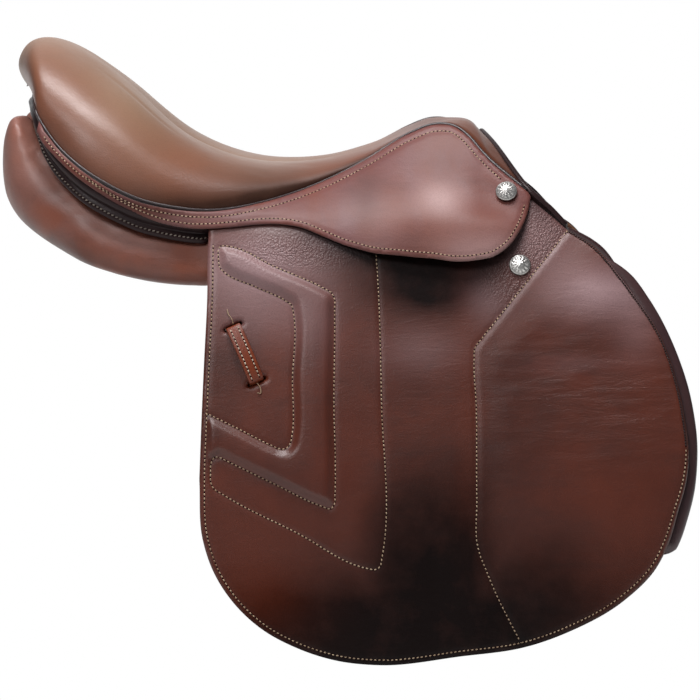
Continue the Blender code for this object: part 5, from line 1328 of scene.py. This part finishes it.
def make_pommel_band():
    """Round the front arch: a rolled edge against the seat, and the stitched strip in front of the arch."""
    steps = np.linspace(0.0, 1.0, POMMEL_POINTS)
    arch = fuller(seat_points([POMMEL_SHARE], steps)[0], POMMEL_SHARE, steps) + POMMEL_SHIFT
    top = smooth_path(np.vstack([arch[::2], POMMEL_ENDS]), 0.003)
    top[0, 1] = 0.0
    low = np.column_stack([top[:, 0] + POMMEL_LEAN, top[:, 1] * by_table(top[:, 1], POMMEL_PULLS),
                           top[:, 2] - by_table(top[:, 1], POMMEL_HEIGHTS)])
    out = unit(np.cross(np.gradient(top, axis=0), low - top))
    out *= np.sign(out[:, :1])
    out[0, 1] = 0.0

    def place(share, rise):
        belly = POMMEL_BELLY * math.sin(math.pi * min(max(share, 0.0), 1.0))
        spot = top + (low - top) * share + out * (rise + belly)
        spot[0, 1] = 0.0
        return both_sides(spot)

    about = {"body": "saddle", "slot": "dark_leather"}
    band_piece("pommel_facing_strip", [place(*row) for row in POMMEL_PROFILE], "facing_leather",
               replaced=["pommel_facing"], **about)
    stitches("pommel_facing_stitches", [(place(POMMEL_ROW, POMMEL_THREAD_RISE), both_sides(out))], "grey_thread",
             **about)


# Knee roll, nails and panels

ROLL_ROUTE = [(0.2400, 0.0175), (0.2575, 0.0075), (0.2748, -0.0045), (0.2885, -0.0170), (0.2990, -0.0305),
              (0.3078, -0.0445), (0.3180, -0.0650), (0.3264, -0.0864), (0.3328, -0.1077), (0.3368, -0.1289),
              (0.3390, -0.1501), (0.3385, -0.1714), (0.3358, -0.1925), (0.3302, -0.2130), (0.3205, -0.2380),
              (0.3150, -0.2465)]
ROLL_OUT = -0.0087
ROLL_RADIUS = 0.0046
ROLL_WIDTH = 0.0080
ROLL_THIN = 0.50
ROLL_TUCK = 0.0038
# By the share of its length: where it gets its full width, where it is tucked in, and how long its two tips are
ROLL_FULL = (0.0, 0.36)
ROLL_TUCKED = (0.20, 0.02)
ROLL_TIPS = (0.02, 0.03)
ROLL_TIP_LEAST = 0.05


def make_knee_rolls():
    """The soft roll in front of the flap, tapered at both ends."""
    route = smooth_path(ROLL_ROUTE, 0.003)
    shares = np.linspace(0.0, 1.0, len(route))
    half = ROLL_WIDTH * (ROLL_THIN + (1.0 - ROLL_THIN) * ramp(shares, *ROLL_FULL))
    ends = np.minimum(shares / ROLL_TIPS[0], (1 - shares) / ROLL_TIPS[1])
    ends = np.sqrt(np.clip(ends, ROLL_TIP_LEAST, 1.0))
    inset = half - ROLL_RADIUS + ROLL_TUCK * ramp(shares, *ROLL_TUCKED)
    x, z = inset_path(route, inset[:, None], -1).T
    for name, sign in SIDES:
        roll = tube("knee_roll_cover_" + name, on_side(x, z, ROLL_OUT, sign), half * ends, 20, "roll_leather",
                    flat=ROLL_RADIUS / ROLL_WIDTH, outward=side_normal(x, z) * (1.0, -sign, 1.0), body="saddle",
                    slot="dark_leather", replaced=["knee_roll_" + name])


SKIRT_NAIL = (0.1819, 0.0539)
FLAP_NAIL = (0.1919, -0.0055)
NAIL_RADIUS = 0.0093
NAIL_HEIGHT = 0.0042
# Share of the nail's radius, share of its height, depth of the fluting, and how tarnished it is there
NAIL_PROFILE = [(1.00, 0.00, 0.0, 1.0), (1.00, 0.14, 0.0, 0.9), (0.98, 0.26, 0.0, 0.6), (0.94, 0.36, 0.0, 0.3),
                (0.89, 0.42, 0.0, 0.4), (0.86, 0.44, 0.0, 0.7), (0.82, 0.54, 0.2, 0.4), (0.74, 0.68, 1.0, 0.1),
                (0.62, 0.82, 1.0, 0.0), (0.50, 0.90, 0.6, 0.1), (0.42, 0.90, 0.2, 0.5), (0.37, 0.92, 0.0, 0.5),
                (0.30, 0.99, 0.3, 0.1), (0.18, 1.06, 0.2, 0.0), (0.00, 1.10, 0.0, 0.0)]
NAIL_FLUTES = 12
NAIL_SIDES = 96
NAIL_STAND = 0.0009
SKIRT_NAIL_STAND = 0.0028
ROPE_DEPTH = 0.018
FLUTE_DEPTH = 0.16
FLUTE_TARNISH = 0.4


def make_nails():
    """Domed silver nail heads with a rope edge, a ring of flutes and a boss."""
    turns = np.linspace(0.0, 2 * math.pi, NAIL_SIDES, endpoint=False)
    wave = 0.5 - 0.5 * np.cos(NAIL_FLUTES * turns)
    skirt_stand = SKIRT_OUT + float(skirt_bulge(*SKIRT_NAIL)) + SKIRT_NAIL_STAND
    for name, sign in SIDES:
        for kind, (x, z), stand in (("skirt_nail_", SKIRT_NAIL, skirt_stand), ("flap_nail_", FLAP_NAIL, NAIL_STAND)):
            out = side_normal(np.array([x]), np.array([z]))[0] * (1, -sign, 1)
            along = unit(np.cross((0.0, 0.0, 1.0), out))
            spokes = np.outer(np.cos(turns), along) + np.outer(np.sin(turns), np.cross(out, along))
            points, dark = [], []
            for share, rise, flute, tarnish in NAIL_PROFILE:
                rope = ROPE_DEPTH * np.cos(3 * NAIL_FLUTES * turns) if 0.85 < share < 0.99 else 0.0
                height = NAIL_HEIGHT * (rise - FLUTE_DEPTH * flute * wave + rope)
                points.append(on_side(x, z, stand, sign) + NAIL_RADIUS * share * spokes + np.outer(height, out))
                dark.append(tarnish + FLUTE_TARNISH * flute * wave)
            # The last ring is a single place and gets no face
            faces = skin_faces(len(points), NAIL_SIDES)[:-1]
            if sign < 0:
                faces = [face[::-1] for face in faces]
            new_piece(kind + "head_" + name, np.vstack(points), faces, ["nail_silver"], body="saddle",
                      slot="antique_silver", replaced=[kind + name], fields={"dark": np.concatenate(dark)})


# Corner softness of the panel's section, from the channel's top round by the outside
PANEL_SOFTNESS = (0.22, 0.16, 0.42, 0.34)
REAR_ROUNDING = 0.030
REAR_HEIGHT = 0.55
FRONT_ROUNDING = 0.006
FRONT_TAPER = 0.14
# The rear end: where it droops, how far its top rises, and how far its middle stands back
REAR_DROOP = (-0.205, -0.250)
REAR_LIFT = 0.0150
REAR_LIFT_Z = (0.080, 0.112)
REAR_BELLY = 0.0078
REAR_BELLY_Z = (0.048, 0.028)
EVEN_ROUNDS = 9
REAR_EVEN_ROUNDS = 26
REAR_EVEN_X = (-0.180, -0.215)
PANEL_START = 0.0030
PANEL_FILL = 0.0030
PANEL_VOXEL = 0.0055
PANEL_SWELL = 0.0045
PANEL_FRAMES = 20
PANEL_PRESSURE = 4.0
PANEL_DEPTH = -0.0190
PANEL_DEPTH_AT_HEAD = -0.0238
HEAD_PLATE_X = 0.144
HEAD_PLATE_REACH = 0.058
# From here forward the panel stays behind the flap
UNDER_FLAP_X = (-0.114, -0.082)


def panel_shell():
    """The right panel's surface before it is filled, as sections from the rear to the front."""
    rear, front = PANEL_SECTIONS.keys[0], PANEL_SECTIONS.keys[-1]
    xs = np.concatenate([rear + REAR_ROUNDING * (1 - np.cos(np.linspace(0, 0.5 * math.pi, 9)[:-1])),
                         np.linspace(rear + REAR_ROUNDING, front - FRONT_ROUNDING, 70),
                         [front - 0.003, front - 0.0005, front]])
    t = np.linspace(0.0, 1.0, 6)[:, None]
    rings = []
    for x in xs:
        inside, top_out, low_out, top_in_z, top_out_z, low_in_z, low_out_z = PANEL_SECTIONS.at(x)
        corners = np.array([(inside, top_in_z), (top_out, top_out_z), (low_out, low_out_z), (inside, low_in_z)])
        ring = []
        for k, corner in enumerate(corners):
            start, end = (corner + (corners[other % 4] - corner) * PANEL_SOFTNESS[k] for other in (k - 1, k + 1))
            ring.append((1 - t) ** 2 * start + 2 * (1 - t) * t * corner + t * t * end)
        from_rear = np.clip((x - rear) / REAR_ROUNDING, 0.0, 1.0)
        grow = REAR_HEIGHT + (1 - REAR_HEIGHT) * math.sqrt(1 - (1 - from_rear) ** 2)
        grow *= 1.0 - FRONT_TAPER * np.clip((x - front + FRONT_ROUNDING) / FRONT_ROUNDING, 0.0, 1.0) ** 2
        middle = corners.mean(axis=0)
        y, z = (middle + (np.vstack(ring) - middle) * grow).T
        droop = ramp(x, *REAR_DROOP)
        z = z + REAR_LIFT * droop * ramp(z, *REAR_LIFT_Z)
        rings.append(np.column_stack([x - REAR_BELLY * droop * hill(z, *REAR_BELLY_Z), -y, z]))
    return np.array(rings)


def evened(places, faces, rounds):
    """Rounds a surface off by moving each point to the middle of its neighbours, some rounds long."""
    pairs = np.array([(a, b) for face in faces for a, b in zip(face, face[1:] + face[:1])])
    pairs = np.vstack([pairs, pairs[:, ::-1]])
    count = np.bincount(pairs[:, 0], minlength=len(places))[:, None]
    for _ in range(rounds):
        total = np.column_stack([np.bincount(pairs[:, 0], places[pairs[:, 1], k], len(places)) for k in range(3)])
        places = 0.5 * places + 0.5 * total / count
    return places


def shown_mesh(piece):
    """A mesh of the piece with its modifiers applied."""
    return bpy.data.meshes.new_from_object(piece.evaluated_get(bpy.context.evaluated_depsgraph_get()))


def places_of(mesh):
    """The places of a mesh's points."""
    return np.array([v.co for v in mesh.vertices])


def set_places(mesh, places):
    """Moves a mesh's points to these places."""
    mesh.vertices.foreach_set("co", places.astype(np.float32).ravel())
    mesh.update()


def swollen(piece):
    """Blows a closed piece up with a short cloth simulation and gives where its points end."""
    start = places_of(piece.data)
    cloth = piece.modifiers.new("filling", "CLOTH")
    cloth.settings.use_pressure = True
    cloth.settings.uniform_pressure_force = PANEL_PRESSURE
    cloth.settings.quality = 5
    cloth.settings.effector_weights.gravity = 0.0
    cloth.collision_settings.use_collision = False
    scene = bpy.context.scene
    for frame_number in range(1, PANEL_FRAMES + 1):
        scene.frame_set(frame_number)
    shown = piece.evaluated_get(bpy.context.evaluated_depsgraph_get())
    move = places_of(shown.data) - start
    piece.modifiers.remove(cloth)
    scene.frame_set(1)
    length = np.linalg.norm(move, axis=1, keepdims=True)
    return start + move * np.minimum(1.0, PANEL_SWELL / np.maximum(length, 1e-9))


def filled_panel():
    """The right panel's mesh: an even skin that is rounded off, blown up and kept behind the flap."""
    rings = panel_shell()
    piece = new_piece("panel", rings.reshape(-1, 3), skin_faces(*rings.shape[:2]), [])
    turned_outwards(piece.data, -PANEL_START)
    remesh = piece.modifiers.new("even mesh", "REMESH")
    remesh.mode = "VOXEL"
    remesh.voxel_size = PANEL_VOXEL
    even = shown_mesh(piece)
    piece.modifiers.clear()
    piece.data = even
    shapes = [tuple(p.vertices) for p in even.polygons]
    places = evened(places_of(even), shapes, EVEN_ROUNDS)
    places += (evened(places, shapes, REAR_EVEN_ROUNDS) - places) * ramp(places[:, :1], *REAR_EVEN_X)
    set_places(even, places)
    places += np.array([v.normal for v in even.vertices]) * PANEL_FILL
    set_places(even, places)
    places = swollen(piece)
    x, z = places[:, 0], places[:, 2]
    wide = np.abs(places[:, 1])
    depth = np.where(np.abs(x - HEAD_PLATE_X) < HEAD_PLATE_REACH, PANEL_DEPTH_AT_HEAD, PANEL_DEPTH)
    limit = np.abs(on_side(x, z, depth)[:, 1])
    places[:, 1] = -(wide + (np.minimum(wide, limit) - wide) * ramp(x, *UNDER_FLAP_X))
    set_places(even, places)
    smooth = piece.modifiers.new("smooth", "SUBSURF")
    smooth.levels = smooth.render_levels = 1
    dense = shown_mesh(piece)
    bpy.data.objects.remove(piece)
    return dense


def make_panels():
    """The two panels, leather filled with soft wool. The left one mirrors the right one."""
    mesh = filled_panel()
    corners = places_of(mesh)
    shapes = [tuple(p.vertices) for p in mesh.polygons]
    for name, sign in SIDES:
        turned = shapes if sign < 0 else [shape[::-1] for shape in shapes]
        made = new_piece("panel_pad_" + name, corners * (1.0, -sign, 1.0), turned, ["panel_leather"],
                         body="saddle", slot="panel_leather", replaced=["panel_" + name], rest=corners,
                         fields=panel_fields(corners))


def panel_fields(places):
    """Darker the further below the facing's line, with darker and warm patches, and painted sheen along its upper
    part.
    """
    x, y, z = places.T
    patches = noise_at(*(places.T * 18.0), 3)
    below_facing = 0.034 - 0.43 * (x + 0.185) - z
    # The band along the upper part is painted sheen
    return {"dark": 0.62 * ramp(below_facing, 0.010, 0.046) + 0.10 * ramp(patches, 0.0, 0.6),
            "warm": 0.8 * ramp(-patches, 0.05, 0.5), "painted_sheen": 0.36 * hill(z, 0.092, 0.036),
            "wrinkle": ramp(x, -0.150, -0.118)}


def finish_nodes():
    """The pieces that keep their solid get the detailed look of their material."""
    others = {"flap_leather": "strap_leather", "panel_leather": "lining_leather"}
    for part in frame["record"]["subparts"]:
        node = frame["nodes"][part["node"]]
        slot = part["material_slot"]
        node.data.materials.clear()
        node.data.materials.append(LOOKS[others.get(slot, slot)])


# Stage, light and camera

CAMERA_DISTANCE = 2.6
CAMERA_ELEVATION = math.radians(7)
CAMERA_TARGET = Vector((0.045, 0.0, -0.097))
CAMERA_LENS = 145.3
FLOOR_Z = -0.62
FLOOR_SHADE = (0.80, 0.80, 0.80)
SHADOW_REACH = 0.45
WHITE_REACH = 0.72
AMBIENT = 0.11
AMBIENT_TINT = (0.90, 0.95, 1.0)
LAMP_AIM = Vector((0.03, 0.0, -0.05))
LAMP_TINT = (1.0, 0.975, 0.985)
# Name, place, width and length, watts
LAMPS = (("overhead", (-0.08, -0.30, 1.40), (0.9, 0.45), 20.0), ("front", (-0.70, -1.50, 1.30), (0.9, 0.6), 14.0),
         ("rear", (-0.30, 1.30, 1.30), (1.4, 1.0), 2.0))


def seen_straight(made):
    """One for the rays that show the background: straight ones, in gloss and through glass."""
    rays = made.put("LightPath").outputs
    seen = made.math("MAXIMUM", rays["Is Camera Ray"], rays["Is Glossy Ray"])
    return made.math("MAXIMUM", seen, rays["Is Transmission Ray"])


def make_floor():
    """A light grey floor that keeps the shadow near the saddle and goes over to white further out."""
    made = Shader("floor_look")
    made.feed(made.out, {"Base Color": FLOOR_SHADE, "Roughness": 0.95, "Specular IOR Level": 0.1})
    away = made.put("VectorMath", {0: made.put("TexCoord").outputs["Object"]}, operation="LENGTH").outputs["Value"]
    share = made.math("MULTIPLY", seen_straight(made), made.spread(away, SHADOW_REACH, WHITE_REACH))
    white = made.put("Emission", {"Color": (1.0, 1.0, 1.0), "Strength": 1.0})
    both = made.put("MixShader", {0: share, 1: made.out.outputs[0], 2: white.outputs[0]})
    made.feed(made.tree.nodes["Material Output"], {"Surface": both.outputs[0]})
    mesh = bpy.data.meshes.new("floor")
    mesh.from_pydata([(x, y, 0.0) for x, y in ((-14, -14), (14, -14), (14, 14), (-14, 14))], [], [(0, 1, 2, 3)])
    mesh.materials.append(made.material)
    floor = bpy.data.objects.new("floor", mesh)
    floor.location = (0.0, 0.0, FLOOR_Z)
    bpy.context.scene.collection.objects.link(floor)


def make_world():
    """Dim surroundings that are white where they are looked at, and behind the saddle also in gloss."""
    world = bpy.data.worlds.new("studio")
    world.use_nodes = True
    made = Shader("studio", world)
    rays = made.put("LightPath").outputs
    ahead = made.put("SeparateXYZ", {0: made.put("TexCoord").outputs["Generated"]}).outputs["Y"]
    mirrored = made.math("MAXIMUM", rays["Is Glossy Ray"], rays["Is Transmission Ray"])
    mirrored = made.math("MULTIPLY", mirrored, made.spread(ahead, 0.86, 0.97))
    seen = made.math("MAXIMUM", rays["Is Camera Ray"], mirrored)
    made.feed(made.tree.nodes["Background"], {
        "Color": made.mix(seen, AMBIENT_TINT, (1.0, 1.0, 1.0)),
        "Strength": made.spread(seen, 0.0, 1.0, AMBIENT, 1.0),
    })
    bpy.context.scene.world = world


def make_lamps():
    """Soft lamps above, in front and behind, all turned to the saddle."""
    for name, place, size, power in LAMPS:
        lamp = bpy.data.lights.new(name, "AREA")
        lamp.shape = "RECTANGLE"
        lamp.size, lamp.size_y = size
        lamp.energy = power
        lamp.color = LAMP_TINT
        holder = bpy.data.objects.new(name, lamp)
        holder.location = place
        holder.rotation_euler = (LAMP_AIM - Vector(place)).to_track_quat("-Z", "Y").to_euler()
        bpy.context.scene.collection.objects.link(holder)


def make_camera():
    """A long lens straight from the saddle's right, a little above it."""
    camera = bpy.data.cameras.new("camera")
    camera.lens = CAMERA_LENS
    camera.sensor_width = 36.0
    camera.clip_end = 60.0
    holder = bpy.data.objects.new("camera", camera)
    ahead = Vector((0.0, math.cos(CAMERA_ELEVATION), -math.sin(CAMERA_ELEVATION)))
    holder.location = CAMERA_TARGET - CAMERA_DISTANCE * ahead
    holder.rotation_euler = ahead.to_track_quat("-Z", "Y").to_euler()
    bpy.context.scene.collection.objects.link(holder)
    bpy.context.scene.camera = holder
    bpy.context.scene.view_settings.view_transform = "Standard"


make_floor()
make_world()
make_lamps()
make_camera()
finish_nodes()
make_flaps()
make_keepers()
make_skirts()
make_seat()
make_welt()
make_cantle_facing()
make_pommel_band()
make_knee_rolls()
make_nails()
make_panels()
